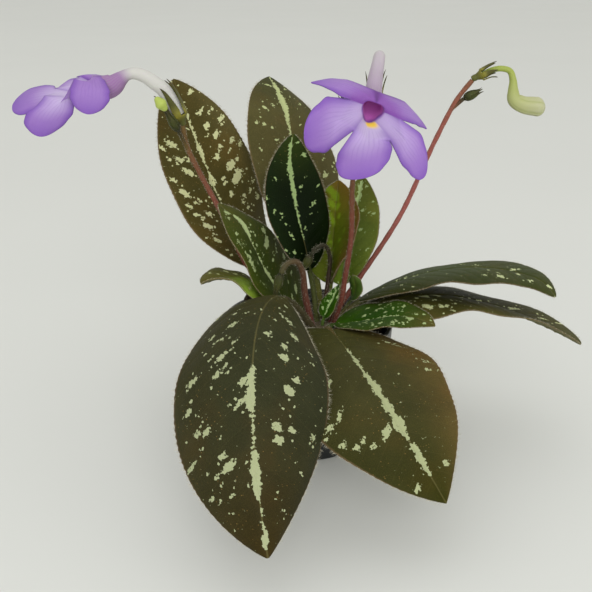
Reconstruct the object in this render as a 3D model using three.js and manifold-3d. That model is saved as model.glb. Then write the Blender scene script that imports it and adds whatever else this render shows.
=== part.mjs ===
// Potted Michaelmoelleria vietnamensis: a rosette of velvety spotted leaves, three flower stalks
// with zigzag two-lipped flowers, and two young nodding stalks, in a round nursery pot.
// Millimetres, Z up. Origin: middle of the pot's foot, on the surface that it stands on.
// The front of the plant faces -Y.
import * as THREE from 'three';
import { mergeVertices } from 'three/addons/utils/BufferGeometryUtils.js';
import Module from 'manifold-3d';

// Pot: a 3 inch round nursery pot.
const POT_HEIGHT = 56;
const RIM_RADIUS = 37.5;
const FOOT_RADIUS = 26.5;
const POT_WALL = 1.3;
const POT_FLOOR = 2;
const RIM_BAND = 7;
const RIM_STEP = 1.6;
const DRAIN_HOLES = 6;
const DRAIN_HOLE_RADIUS = 3.5;
const DRAIN_RING_RADIUS = 18;

// Soil mix and the short stem that every leaf and stalk grows from.
const GAP = 0.3;
const SOIL_HEIGHT = 51;
const CROWN_X = 7;
const CROWN_Y = -3;
const CROWN_RADIUS = 7;
const CROWN_BOTTOM = 40;
const CROWN_SHOULDER = 52;
const CROWN_TOP = 55.3;

// Sheets.
const LEAF_THICKNESS = 0.8;
const PETAL_THICKNESS = 0.7;

const RAD = Math.PI / 180;
const lerp = THREE.MathUtils.lerp;
const smooth = (x, from, to) => THREE.MathUtils.smoothstep(x, from, to);
const vec = (x, y, z) => new THREE.Vector3(x, y, z);

const wasm = await Module();
wasm.setup();

// Solids for joining and cutting.
function toSolid(geometry) {
  const bare = geometry.clone();
  bare.deleteAttribute('normal');
  bare.deleteAttribute('uv');
  const merged = mergeVertices(bare, 1e-4);
  return new wasm.Manifold(new wasm.Mesh({
    numProp: 3,
    vertProperties: merged.attributes.position.array,
    triVerts: new Uint32Array(merged.index.array),
  }));
}

function toGeometry(solid) {
  const mesh = solid.getMesh();
  const geometry = new THREE.BufferGeometry();
  geometry.setAttribute('position', new THREE.BufferAttribute(new Float32Array(mesh.vertProperties), 3));
  geometry.setIndex(new THREE.BufferAttribute(new Uint32Array(mesh.triVerts), 1));
  return geometry;
}

function join(geometries) {
  return geometries.map(toSolid).reduce((whole, next) => whole.add(next));
}

function geometryOf(points, faces) {
  const geometry = new THREE.BufferGeometry();
  const flat = points.flatMap((p) => [p.x, p.y, p.z]);
  geometry.setAttribute('position', new THREE.BufferAttribute(new Float32Array(flat), 3));
  geometry.setIndex(faces.flat());
  return geometry;
}

// Value at s between stops, in straight steps.
function keyed(s, stops, values) {
  let i = 1;
  while (i < stops.length - 1 && s > stops[i]) {
    i += 1;
  }
  const share = (s - stops[i - 1]) / (stops[i] - stops[i - 1]);
  return lerp(values[i - 1], values[i], THREE.MathUtils.clamp(share, 0, 1));
}

function direction(slope, heading) {
  return vec(
    Math.cos(slope * RAD) * Math.cos(heading * RAD),
    Math.cos(slope * RAD) * Math.sin(heading * RAD),
    Math.sin(slope * RAD),
  );
}

// A closed solid from a one-sided sheet: both faces share one triangulation and the free
// edges get a side wall. underside(i) is extra depth below vertex i, such as a midrib.
function thicken(points, faces, thickness, underside = () => 0) {
  const normals = points.map(() => vec(0, 0, 0));
  const edges = new Map();
  for (const [a, b, c] of faces) {
    const normal = points[b].clone().sub(points[a]).cross(points[c].clone().sub(points[a]));
    for (const i of [a, b, c]) {
      normals[i].add(normal);
    }
    for (const [p, q] of [[a, b], [b, c], [c, a]]) {
      if (!edges.delete(`${q},${p}`)) {
        edges.set(`${p},${q}`, [p, q]);
      }
    }
  }
  normals.forEach((normal) => normal.normalize());
  const top = points.map((p, i) => p.clone().addScaledVector(normals[i], thickness / 2));
  const low = points.map((p, i) => p.clone().addScaledVector(normals[i], -thickness / 2 - underside(i)));
  const n = points.length;
  const all = [...faces];
  for (const [a, b, c] of faces) {
    all.push([a + n, c + n, b + n]);
  }
  for (const [p, q] of edges.values()) {
    all.push([p, p + n, q + n], [p, q + n, q]);
  }
  return geometryOf([...top, ...low], all);
}

// A round bar along a line of points, with its own radius at each point.
function bar(points, radii, sides) {
  const ring = [];
  const faces = [];
  const all = [];
  const last = points.length - 1;
  let across = vec(0, 0, 0);
  points.forEach((point, i) => {
    const along = points[Math.min(i + 1, last)].clone().sub(points[Math.max(i - 1, 0)]).normalize();
    if (i === 0) {
      across = vec(0, 0, 1).cross(along);
      if (across.length() < 0.2) {
        across = vec(0, 1, 0).cross(along);
      }
    }
    across.addScaledVector(along, -across.dot(along)).normalize();
    const other = along.clone().cross(across);
    ring.push(all.length);
    for (let k = 0; k < sides; k += 1) {
      const turn = (2 * Math.PI * k) / sides;
      all.push(point.clone()
        .addScaledVector(across, radii[i] * Math.cos(turn))
        .addScaledVector(other, radii[i] * Math.sin(turn)));
    }
  });
  for (let i = 0; i < last; i += 1) {
    for (let k = 0; k < sides; k += 1) {
      const a = ring[i] + k;
      const b = ring[i] + ((k + 1) % sides);
      faces.push([a, b, b + sides], [a, b + sides, a + sides]);
    }
  }
  all.push(points[0].clone(), points[last].clone());
  for (let k = 0; k < sides; k += 1) {
    const next = (k + 1) % sides;
    faces.push([all.length - 2, ring[0] + next, ring[0] + k]);
    faces.push([all.length - 1, ring[last] + k, ring[last] + next]);
  }
  return geometryOf(all, faces);
}

// A bar along a smooth curve through a few points; radii are spread evenly along it.
function stalkBar(through, radii, sides, steps) {
  const curve = new THREE.CatmullRomCurve3(through.map((p) => vec(...p)), false, 'centripetal');
  const points = curve.getSpacedPoints(steps);
  const stops = radii.map((_, i) => i / (radii.length - 1));
  return bar(points, points.map((_, i) => keyed(i / steps, stops, radii)), sides);
}

// Pot, turned about Z: foot, tapering wall, stepped rim band, hollow inside.
function wallRadius(z) {
  const outer = RIM_RADIUS - RIM_STEP;
  return lerp(FOOT_RADIUS, outer, z / POT_HEIGHT);
}

function potSolid() {
  const step = POT_HEIGHT - RIM_BAND;
  const profile = [
    [0, 0],
    [FOOT_RADIUS - 0.8, 0],
    [FOOT_RADIUS, 0.8],
    [wallRadius(step), step],
    [RIM_RADIUS - 0.3, step + 0.3],
    [RIM_RADIUS, POT_HEIGHT - 0.6],
    [RIM_RADIUS - 0.6, POT_HEIGHT],
    [RIM_RADIUS - POT_WALL - 0.4, POT_HEIGHT],
    [wallRadius(step + 1.2) - POT_WALL + 0.9, step + 1.4],
    [wallRadius(step) - POT_WALL, step - 0.4],
    [wallRadius(POT_FLOOR + 1) - POT_WALL, POT_FLOOR + 1],
    [wallRadius(POT_FLOOR) - POT_WALL - 1, POT_FLOOR],
    [0, POT_FLOOR],
  ].map(([r, z]) => new THREE.Vector2(r, z));
  let solid = toSolid(new THREE.LatheGeometry(profile, 48).rotateX(Math.PI / 2));
  for (let k = 0; k < DRAIN_HOLES; k += 1) {
    const turn = (2 * Math.PI * (k + 0.5)) / DRAIN_HOLES;
    const hole = new THREE.CylinderGeometry(DRAIN_HOLE_RADIUS, DRAIN_HOLE_RADIUS, 8, 12).rotateX(Math.PI / 2);
    hole.translate(DRAIN_RING_RADIUS * Math.cos(turn), DRAIN_RING_RADIUS * Math.sin(turn), 0);
    solid = solid.subtract(toSolid(hole));
  }
  return solid;
}

// Inner radius of the pot at height z, less the soil's clearance.
function soilRadius(z) {
  return wallRadius(Math.min(z, POT_HEIGHT - RIM_BAND)) - POT_WALL - GAP * 1.4;
}

// Crown: short upright stem with a domed top.
function crownProfile(grow) {
  const points = [new THREE.Vector2(0, CROWN_BOTTOM - grow)];
  points.push(new THREE.Vector2(CROWN_RADIUS - 1.5 + grow, CROWN_BOTTOM - grow));
  points.push(new THREE.Vector2(CROWN_RADIUS + grow, CROWN_BOTTOM + 3));
  for (let k = 0; k <= 3; k += 1) {
    const turn = (k * 30) * RAD;
    points.push(new THREE.Vector2(
      (CROWN_RADIUS + grow) * Math.cos(turn),
      CROWN_SHOULDER + (CROWN_TOP + grow - CROWN_SHOULDER) * Math.sin(turn),
    ));
  }
  points[points.length - 1].x = 0;
  return points;
}

function crownSolid(grow = 0) {
  const turned = new THREE.LatheGeometry(crownProfile(grow), 18).rotateX(Math.PI / 2);
  return toSolid(turned.translate(CROWN_X, CROWN_Y, 0));
}

const crownRoom = crownSolid(GAP + 0.06);

// Soil: lumpy top by a formula, low round the crown and heaped at the back left of the rim.
function soilTop(x, y) {
  const fromCrown = Math.hypot(x - CROWN_X, y - CROWN_Y);
  const lumps = 1.1 * Math.sin(0.61 * x + 1.3) * Math.cos(0.53 * y - 0.4)
    + 0.9 * Math.sin(0.97 * x - 0.71 * y + 2.1)
    + 0.6 * Math.cos(1.43 * x + 1.19 * y);
  const heap = 4.5 * Math.exp(-((x + 27) ** 2 + (y - 9) ** 2) / 60);
  return SOIL_HEIGHT - 6.5 * Math.exp(-(fromCrown ** 2) / 130) + lumps + heap;
}

function soilSolid() {
  const around = 36;
  const rings = [0, 0.14, 0.28, 0.42, 0.56, 0.7, 0.82, 0.92, 1];
  const points = [vec(0, 0, soilTop(0, 0))];
  const faces = [];
  const ringStart = (i) => 1 + (i - 1) * around;
  const edge = soilRadius(SOIL_HEIGHT);
  for (let i = 1; i < rings.length; i += 1) {
    for (let k = 0; k < around; k += 1) {
      const turn = (2 * Math.PI * (k + 0.5 * (i % 2))) / around;
      const x = edge * rings[i] * Math.cos(turn);
      const y = edge * rings[i] * Math.sin(turn);
      const top = Math.min(soilTop(x, y), rings[i] === 1 ? POT_HEIGHT - 1.5 : 60);
      points.push(vec(x, y, top));
    }
  }
  const lowest = POT_FLOOR + GAP;
  for (const [r, z] of [[soilRadius(POT_HEIGHT - RIM_BAND - 4), POT_HEIGHT - RIM_BAND - 4],
    [soilRadius(lowest + 1) - 1, lowest + 1], [soilRadius(lowest) - 3, lowest]]) {
    for (let k = 0; k < around; k += 1) {
      const turn = (2 * Math.PI * k) / around;
      points.push(vec(r * Math.cos(turn), r * Math.sin(turn), z));
    }
  }
  points.push(vec(0, 0, lowest));
  for (let k = 0; k < around; k += 1) {
    const next = (k + 1) % around;
    faces.push([0, 1 + k, 1 + next]);
    faces.push([points.length - 1, points.length - 2 - k, points.length - 2 - next]);
  }
  for (let i = 1; i < rings.length + 2; i += 1) {
    for (let k = 0; k < around; k += 1) {
      const a = ringStart(i) + k;
      const b = ringStart(i) + ((k + 1) % around);
      const shifted = i % 2 === 0 || i >= rings.length - 1 ? [[a, a + around, b + around], [a, b + around, b]]
        : [[a, a + around, b], [b, a + around, b + around]];
      faces.push(...shifted);
    }
  }
  return toSolid(geometryOf(points, faces)).subtract(crownRoom).subtract(crownShaft());
}

// Plain hole in the soil, open to the top, in which the crown stands.
function crownShaft() {
  const radius = CROWN_RADIUS + GAP;
  const shaft = new THREE.CylinderGeometry(radius, radius, 30, 18).rotateX(Math.PI / 2);
  return toSolid(shaft.translate(CROWN_X, CROWN_Y, CROWN_BOTTOM + 3 + 15));
}

// Leaves, with lengths in mm and angles in degrees. root: where the leaf stalk leaves the crown.
// slope and heading: of the midrib at the crown, at the blade's base, (half way) and at the tip,
// heading counted from +X towards +Y. roll: at the base and tip. fold: how far each half lifts,
// arch: how far it bends down again, at base and tip. outline: how bluntly the blade starts and
// ends. lobe: how far the base reaches back past the stalk. asym: share of the half widths.
const leaves = {
  leaf_front_left: {
    root: [3.6, -9.4, 52], stalk: 32, blade: 122, width: 65,
    slope: [65, 33, -44, -63], heading: [-146, -112, -69], roll: [9, -7],
    fold: [-3, -21], arch: [38, 33], outline: [1.07, 0.82], lobe: 0, asym: 1.02,
  },
  leaf_front_right: {
    root: [7.6, -10.3, 51], stalk: 14, blade: 92, width: 63,
    slope: [78, 4, -24, -45], heading: [-86, -74, -49], roll: [9, -14],
    fold: [9, 4], arch: [21, 14], outline: [0.72, 0.94], lobe: 0.7, asym: 1.02,
  },
  leaf_right_lower: {
    root: [14.3, -3.5, 50], stalk: 13, blade: 104, width: 51,
    slope: [63, 19, -12, -19], heading: [1, 28, -37], roll: [3, 19],
    fold: [-1, 15], arch: [29, 4], outline: [0.51, 0.69], lobe: 0, asym: 1,
  },
  leaf_right_upper: {
    root: [13.6, 0.2, 52], stalk: 15, blade: 92, width: 49,
    slope: [68, 22, 8, -17], heading: [29, 27, -32], roll: [22, 0],
    fold: [4, 5], arch: [25, 14], outline: [0.64, 0.66], lobe: 0, asym: 0.98,
  },
  leaf_right_small: {
    root: [9.8, -7.2, 55.4], stalk: 3, blade: 45, width: 27,
    slope: [46, 12, 21, -17], heading: [-21, -14, -34], roll: [0, -11],
    fold: [20, 4], arch: [10, 16], outline: [0.46, 0.8], lobe: 0, asym: 1,
  },
  leaf_back_left: {
    root: [1.7, 2.1, 52.5], stalk: 31, blade: 104, width: 51,
    slope: [53, 34, 58, 43], heading: [147, 147, 116], roll: [-9, 6],
    fold: [4, 16], arch: [22, 2], outline: [0.61, 0.83], lobe: 0, asym: 1.03,
  },
  leaf_back_centre: {
    root: [6.7, 4.3, 50], stalk: 33, blade: 98, width: 47,
    slope: [62, 43, 67, 23], heading: [97, 105, 114], roll: [-19, -12],
    fold: [16, -1], arch: [8, 21], outline: [0.63, 0.67], lobe: 0, asym: 0.98,
  },
  leaf_back_right: {
    root: [12.1, 2.3, 50], stalk: 20, blade: 52, width: 30,
    slope: [76, 60, 48, 66], heading: [58, 74, 62], roll: [14, 7],
    fold: [21, 16], arch: [2, 1], outline: [0.56, 0.78], lobe: 0, asym: 1.15,
  },
  leaf_back_reddish: {
    root: [9.5, 3.9, 54], stalk: 16, blade: 46, width: 36,
    slope: [74, 66, 74, 75], heading: [79, 82, 67], roll: [40, 8],
    fold: [32, 16], arch: [-15, -4], outline: [0.6, 0.78], lobe: 0, asym: 1.25,
  },
  leaf_centre_dark: {
    root: [4.3, 3.8, 54], stalk: 23, blade: 63, width: 28,
    slope: [79, 77, 62, 43], heading: [112, 148, 75], roll: [8, 6],
    fold: [11, 5], arch: [14, 13], outline: [0.49, 0.76], lobe: 0, asym: 1.03,
  },
  leaf_mid_left: {
    root: [-0.3, -2.5, 54], stalk: 3, blade: 63, width: 40,
    slope: [49, 50, 66, 36], heading: [176, 177, 162], roll: [8, 3],
    fold: [15, 3], arch: [9, 12], outline: [0.58, 0.82], lobe: 0, asym: 1,
  },
  leaf_left_small: {
    root: [0.3, -6, 50], stalk: 28, blade: 31, width: 27,
    slope: [49, 51, 15, -17], heading: [201, 183, 209], roll: [3, -14],
    fold: [5, 17], arch: [23, 2], outline: [0.59, 0.7], lobe: 0, asym: 1.01,
  },
  leaf_tiny: {
    root: [12.8, -0.8, 53.8], stalk: 14, blade: 12, width: 10,
    slope: [71, 53, 93, 115], heading: [3, -17, 21], roll: [-21, -32],
    fold: [14, -2], arch: [10, 17], outline: [0.59, 0.77], lobe: 0, asym: 1.01,
  },
  leaf_young: {
    root: [6.6, -4.6, 55.6], stalk: 3, blade: 16, width: 9.8,
    slope: [80, 62, 59, 55], heading: [58, 26, 44], roll: [-10, 10],
    fold: [21, 12], arch: [9, 3], outline: [0.41, 0.89], lobe: 0, asym: 1.01,
  },
};

// The leaf stalk and midrib as fine points with their frames.
function midribOf(leaf) {
  const length = leaf.stalk + leaf.blade;
  const steps = [];
  for (let i = 0; i < 12; i += 1) {
    steps.push((leaf.stalk * i) / 12);
  }
  for (let i = 0; i <= 40; i += 1) {
    steps.push(leaf.stalk + (leaf.blade * i) / 40);
  }
  const slopeStops = [0, leaf.stalk, leaf.stalk + leaf.blade / 2, length];
  const headingStops = [0, leaf.stalk, length];
  const slopeAt = (s) => keyed(s, slopeStops, leaf.slope);
  const headingAt = (s) => keyed(s, headingStops, leaf.heading);
  const along = steps.map((s) => direction(slopeAt(s), headingAt(s)));
  const points = [vec(...leaf.root)];
  for (let i = 1; i < steps.length; i += 1) {
    const step = (steps[i] - steps[i - 1]) / 2;
    points.push(points[i - 1].clone().addScaledVector(along[i - 1], step).addScaledVector(along[i], step));
  }
  return (s) => {
    let i = 1;
    while (i < steps.length - 1 && s > steps[i]) {
      i += 1;
    }
    const share = (s - steps[i - 1]) / (steps[i] - steps[i - 1]);
    const forward = direction(slopeAt(s), headingAt(s));
    const flat = vec(Math.sin(headingAt(s) * RAD), -Math.cos(headingAt(s) * RAD), 0);
    const up = flat.clone().cross(forward);
    const t = THREE.MathUtils.clamp((s - leaf.stalk) / leaf.blade, 0, 1);
    const roll = lerp(leaf.roll[0], leaf.roll[1], t) * RAD;
    return {
      point: points[i - 1].clone().lerp(points[i], share),
      forward,
      side: flat.clone().multiplyScalar(Math.cos(roll)).addScaledVector(up, Math.sin(roll)),
      normal: up.clone().multiplyScalar(Math.cos(roll)).addScaledVector(flat, -Math.sin(roll)),
    };
  };
}

// Half width of the blade at t, from 0 at its base to 1 at its tip.
function halfWidth(leaf, t) {
  const [p, q] = leaf.outline;
  const widest = p / (p + q);
  const peak = widest ** p * (1 - widest) ** q;
  return ((leaf.width / 2) * t ** p * (1 - t) ** q) / peak;
}

// Point of the blade at t along it and a across it, from -1 to 1.
function bladePoint(leaf, frame, t, a) {
  const { point, forward, side, normal } = frame(leaf.stalk + leaf.blade * t);
  const reach = Math.abs(a);
  const fold = lerp(leaf.fold[0], leaf.fold[1], t) * RAD;
  const arch = lerp(leaf.arch[0], leaf.arch[1], t) * RAD + 1e-6;
  const width = halfWidth(leaf, t) * (a > 0 ? leaf.asym : 2 - leaf.asym);
  const out = (Math.sin(fold) - Math.sin(fold - arch * reach)) / arch;
  const lift = (Math.cos(fold - arch * reach) - Math.cos(fold)) / arch;
  const wave = 0.018 * leaf.width * reach ** 2 * Math.sin(Math.PI * t) * Math.sin(17 * t + 3 * a + leaf.blade);
  return point.clone()
    .addScaledVector(side, Math.sign(a) * out * width)
    .addScaledVector(normal, lift * width + wave)
    .addScaledVector(forward, -leaf.lobe * width * reach * (1 - t) ** 5);
}

function leafSolid(leaf) {
  const large = leaf.blade > 60;
  const rows = large ? 12 : 9;
  const columns = large ? 8 : 6;
  const frame = midribOf(leaf);
  const rowAt = (j) => (j / rows) ** 1.6;
  const points = [bladePoint(leaf, frame, 0, 0)];
  const faces = [];
  const start = (j) => 1 + (j - 1) * (columns + 1);
  for (let j = 1; j < rows; j += 1) {
    for (let i = 0; i <= columns; i += 1) {
      points.push(bladePoint(leaf, frame, rowAt(j), -1 + (2 * i) / columns));
    }
  }
  points.push(bladePoint(leaf, frame, 1, 0));
  const tip = points.length - 1;
  for (let i = 0; i < columns; i += 1) {
    faces.push([0, start(1) + i + 1, start(1) + i]);
    faces.push([tip, start(rows - 1) + i, start(rows - 1) + i + 1]);
  }
  for (let j = 1; j < rows - 1; j += 1) {
    for (let i = 0; i < columns; i += 1) {
      const a = start(j) + i;
      const b = start(j + 1) + i;
      const left = i < columns / 2;
      const pair = left ? [[a, a + 1, b + 1], [a, b + 1, b]] : [[a, a + 1, b], [a + 1, b + 1, b]];
      faces.push(...pair);
    }
  }
  const stout = 0.52 + 0.0095 * leaf.blade;
  const isMidrib = (i) => i > 0 && i < tip && (i - 1) % (columns + 1) === columns / 2;
  const keel = (i) => (isMidrib(i) ? stout * 0.7 * (1 - rowAt(1 + Math.floor((i - 1) / (columns + 1)))) : 0);
  const blade = thicken(points, faces, LEAF_THICKNESS, keel);

  const root = vec(...leaf.root);
  const centre = vec(CROWN_X, CROWN_Y, leaf.root[2] - 2);
  const inside = root.clone().add(centre.sub(root).normalize().multiplyScalar(Math.min(2.5, CROWN_RADIUS / 2)));
  const path = [inside];
  const radii = [stout * 1.15];
  const stalkSteps = leaf.stalk > 10 ? 5 : 2;
  for (let i = 1; i <= stalkSteps; i += 1) {
    path.push(frame((leaf.stalk * i) / stalkSteps - 0.5).point);
    radii.push(stout * lerp(1.15, 1, i / stalkSteps));
  }
  path[path.length - 1].addScaledVector(frame(leaf.stalk).normal, -stout * 0.35);
  for (const [t, sunk, thick] of [[0.05, 0.6, 0.85], [0.12, 0.6, 0.6]]) {
    const at = frame(leaf.stalk + leaf.blade * t);
    path.push(at.point.clone().addScaledVector(at.normal, -stout * sunk));
    radii.push(stout * thick);
  }
  return toSolid(blade).add(toSolid(bar(path, radii, 6)));
}

// Rosette: the crown and every leaf, grown as one.
function rosetteSolid() {
  return Object.values(leaves).map(leafSolid).reduce((whole, leaf) => whole.add(leaf), crownSolid());
}

// Flowers. tube: centre line of the zigzag tube from the calyx, with its radii. facing: slope and
// heading of the mouth, turn: its twist. Lobes are given in mm from the middle of the mouth, to the
// right, up and forward as seen by one who looks into it, in the order upper right, upper left, left,
// lower, right. tip, bend: end and bending point of the lobe's midline, side: across it, towards the
// lobe before. notches: where each lobe parts from the next.
const flowers = {
  flower_centre: {
    tube: [[26.4, 0.5, 154.5], [26.9, 0, 161], [27.2, -2.8, 166.6], [27, -7, 168.2], [26, -10.4, 164.4],
      [24.95, -12.2, 158.6], [24.3, -14.4, 153], [23.7, -19, 150.8]],
    tubeRadii: [1.9, 2.3, 2.1, 1.85, 2.2, 2.75, 3.3, 3.7],
    mouth: [23.3, -24.4, 150.4],
    mouthRadius: 4.2,
    facing: [-12, -86],
    turn: -21,
    notches: [[0.8, 5, -7], [-10, 2.2, 2.5], [-6.7, -5.1, 11.8], [6, -3, 15], [9.4, 2.4, 5]],
    lobes: [
      { tip: [23.5, 0, -3], bend: [12.5, 5.5, -2.5], side: [-0.25, -0.2, 0.94], width: 13, widest: 0.5 },
      { tip: [-24, -0.8, -6.6], bend: [-12.5, 5, -1.5], side: [-0.25, 0.2, -0.94], width: 13, widest: 0.5 },
      { tip: [-22.8, -13.2, 11.7], bend: [-13, -5.5, 7.6], side: [-0.33, 0.89, -0.31], width: 19, widest: 0.6 },
      { tip: [-3.1, -15.4, 29.5], bend: [-1.5, -5, 15], side: [-0.88, -0.47, -0.05], width: 18, widest: 0.6 },
      { tip: [23.8, -10.8, 16.8], bend: [15, -1, 12], side: [-0.3, -0.8, 0.52], width: 13, widest: 0.55 },
    ],
  },
  flower_left: {
    tube: [[-53.8, 14.2, 142.6], [-56.4, 14, 148], [-59.4, 13.8, 152.9], [-62.9, 13.4, 155.8], [-66.4, 13, 158.3],
      [-70.5, 12.5, 159.7], [-73.5, 11.5, 159.3], [-76, 11, 157.8], [-79.1, 10, 155.4], [-81.8, 9.3, 154.5]],
    tubeRadii: [1.9, 2.3, 2.4, 2.4, 2.1, 1.9, 1.6, 2.3, 4.1, 4.7],
    mouth: [-87.6, 8, 154.4],
    mouthRadius: 4.7,
    facing: [10, 185],
    turn: 0,
    notches: [[0, 5.4, -4], [-7, 1, 5], [-6, -3, 16], [4.5, -5.4, 17.5], [6.2, -3.4, 8.5]],
    lobes: [
      { tip: [12.7, -8.2, -1.2], bend: [11, 5, -0.5], side: [0, -0.1, 0.99], width: 16, widest: 0.55 },
      { tip: [-15, 2.5, -1], bend: [-8, 5.2, 0], side: [0, -0.1, -0.99], width: 15, widest: 0.5 },
      { tip: [-14, -17, 15], bend: [-11, -4, 12], side: [-0.3, 0.3, -0.9], width: 16, widest: 0.6 },
      { tip: [-1, -12.6, 30.5], bend: [-1, -3, 18], side: [-0.9, 0.42, 0], width: 15, widest: 0.62 },
      { tip: [9.2, -20.7, 17], bend: [9, -6, 16], side: [0.1, -0.1, 0.99], width: 17, widest: 0.6 },
    ],
  },
};

// Axis of a flower's tube: point, direction, radius and the two directions across it.
function tubeFrames(flower) {
  const facing = direction(...flower.facing);
  const upright = vec(0, 0, 1).addScaledVector(facing, -facing.z).normalize();
  const turn = flower.turn * RAD;
  const right = upright.clone().cross(facing);
  const mouthRight = right.clone().multiplyScalar(Math.cos(turn)).addScaledVector(upright, Math.sin(turn));
  const curve = new THREE.CatmullRomCurve3([...flower.tube, flower.mouth].map((p) => vec(...p)));
  const radii = [...flower.tubeRadii, flower.mouthRadius];
  const stops = radii.map((_, i) => i / (radii.length - 1));
  return (s) => {
    const along = curve.getTangent(s);
    along.lerp(facing, smooth(s, 0.75, 1)).normalize();
    const across = mouthRight.clone().addScaledVector(along, -mouthRight.dot(along)).normalize();
    return {
      point: curve.getPoint(s),
      along,
      across,
      up: along.clone().cross(across),
      radius: keyed(s, stops, radii),
    };
  };
}

function tubePoint(frame, turn, radius) {
  return frame.point.clone()
    .addScaledVector(frame.across, radius * Math.cos(turn))
    .addScaledVector(frame.up, radius * Math.sin(turn));
}

// Half width of a lobe at t, from 0 at the mouth to 1 at its tip.
function lobeHalf(lobe, t) {
  const past = Math.max(0, (t - lobe.widest) / (1 - lobe.widest));
  return (lobe.width / 2) * Math.min(1, 0.5 + t / lobe.widest / 2) * Math.sqrt(Math.max(0, 1 - past ** 2.4));
}

const LOBE_COLUMNS = 4;
const LOBE_ROWS = 8;
const JOINED_ROWS = 2;

// Corolla: a thin open tube whose mouth runs on into five petals joined at their foot.
function flowerSolid(flower) {
  const around = LOBE_COLUMNS * 5;
  const frameAt = tubeFrames(flower);
  const points = [];
  const faces = [];
  const turnOf = (k) => (18 + (360 * k) / around) * RAD;
  const tubeRows = flower.tube.length;
  for (let j = 0; j <= tubeRows; j += 1) {
    const frame = frameAt(j / tubeRows);
    for (let k = 0; k < around; k += 1) {
      points.push(tubePoint(frame, turnOf(k), frame.radius));
    }
  }
  for (let j = 0; j < tubeRows; j += 1) {
    for (let k = 0; k < around; k += 1) {
      const a = j * around + k;
      const b = j * around + ((k + 1) % around);
      faces.push([a, a + around, b], [b, a + around, b + around]);
    }
  }
  const mouthRow = tubeRows * around;
  const mouth = frameAt(1);
  const local = ([right, up, forward]) => mouth.point.clone()
    .addScaledVector(mouth.across, right)
    .addScaledVector(mouth.up, up)
    .addScaledVector(mouth.along, forward);
  const rimPoint = (k) => points[mouthRow + (k % around)];
  const joints = flower.notches.map((notch, n) => {
    const row = [];
    for (let j = 1; j <= JOINED_ROWS; j += 1) {
      row.push(rimPoint((n + 1) * LOBE_COLUMNS).clone().lerp(local(notch), j / JOINED_ROWS));
    }
    return row;
  });
  const grids = flower.lobes.map((lobe, n) => {
    const rim = rimPoint(n * LOBE_COLUMNS + LOBE_COLUMNS / 2);
    const midline = new THREE.QuadraticBezierCurve3(rim, local(lobe.bend), local(lobe.tip));
    const side = local(lobe.side).sub(mouth.point).normalize();
    const before = joints[(n + 4) % 5];
    const grid = [];
    for (let j = 1; j < LOBE_ROWS; j += 1) {
      const t = Math.sin((Math.PI / 2) * (j / LOBE_ROWS));
      const middle = midline.getPoint(t);
      const outer = midline.getTangent(t).cross(side);
      const half = lobeHalf(lobe, t);
      const row = [];
      for (let i = 0; i <= LOBE_COLUMNS; i += 1) {
        const a = 1 - (2 * i) / LOBE_COLUMNS;
        const edge = a > 0 ? before : joints[n];
        if (j > JOINED_ROWS) {
          row.push(middle.clone().addScaledVector(side, half * a).addScaledVector(outer, 0.15 * half * a * a));
        } else {
          row.push(Math.abs(a) === 1 ? edge[j - 1] : middle.clone().lerp(edge[j - 1], Math.abs(a)));
        }
      }
      grid.push(row);
    }
    grid.push([local(lobe.tip)]);
    return grid;
  });
  const sharedIndex = new Map();
  const indexOf = (point) => {
    if (!sharedIndex.has(point)) {
      sharedIndex.set(point, points.push(point) - 1);
    }
    return sharedIndex.get(point);
  };
  grids.forEach((grid, n) => {
    let below = [];
    for (let i = 0; i <= LOBE_COLUMNS; i += 1) {
      below.push(mouthRow + ((n * LOBE_COLUMNS + i) % around));
    }
    for (const row of grid) {
      const here = row.map(indexOf);
      for (let i = 0; i < LOBE_COLUMNS; i += 1) {
        if (here.length === 1) {
          faces.push([below[i], here[0], below[i + 1]]);
        } else if (i < LOBE_COLUMNS / 2) {
          faces.push([below[i], here[i + 1], below[i + 1]], [below[i], here[i], here[i + 1]]);
        } else {
          faces.push([below[i], here[i], below[i + 1]], [below[i + 1], here[i], here[i + 1]]);
        }
      }
      below = here;
    }
  });
  return toSolid(thicken(points, faces, PETAL_THICKNESS));
}

// Five narrow sepals round the foot of a tube, and the cup below it that they stand on.
function calyx(frameAt, length, spread, reach) {
  const foot = frameAt(0);
  const outer = foot.radius + PETAL_THICKNESS / 2 + GAP * 1.4;
  const back = foot.along.clone().negate();
  const cup = bar([
    foot.point.clone().addScaledVector(back, 4.5),
    foot.point.clone().addScaledVector(back, 2),
    foot.point.clone().addScaledVector(back, GAP * 1.4),
  ], [1.1, outer, outer + 0.7], 8);
  const pieces = [cup];
  for (let k = 0; k < 5; k += 1) {
    const turn = (36 + 72 * k) * RAD;
    const path = [];
    for (const share of [-0.06, 0.1, 0.4, 0.7, 1]) {
      const s = Math.max(0, share) * reach;
      const frame = frameAt(s);
      const radius = Math.max(frame.radius, foot.radius) + PETAL_THICKNESS / 2 + GAP + 0.65
        + spread * Math.max(0, share) ** 2;
      const point = tubePoint(frame, turn, radius);
      if (share < 0) {
        point.addScaledVector(back, -share * length);
      }
      path.push(point);
    }
    pieces.push(bar(path, [0.5, 0.6, 0.75, 0.6, 0.3], 4));
  }
  return pieces;
}

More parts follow.
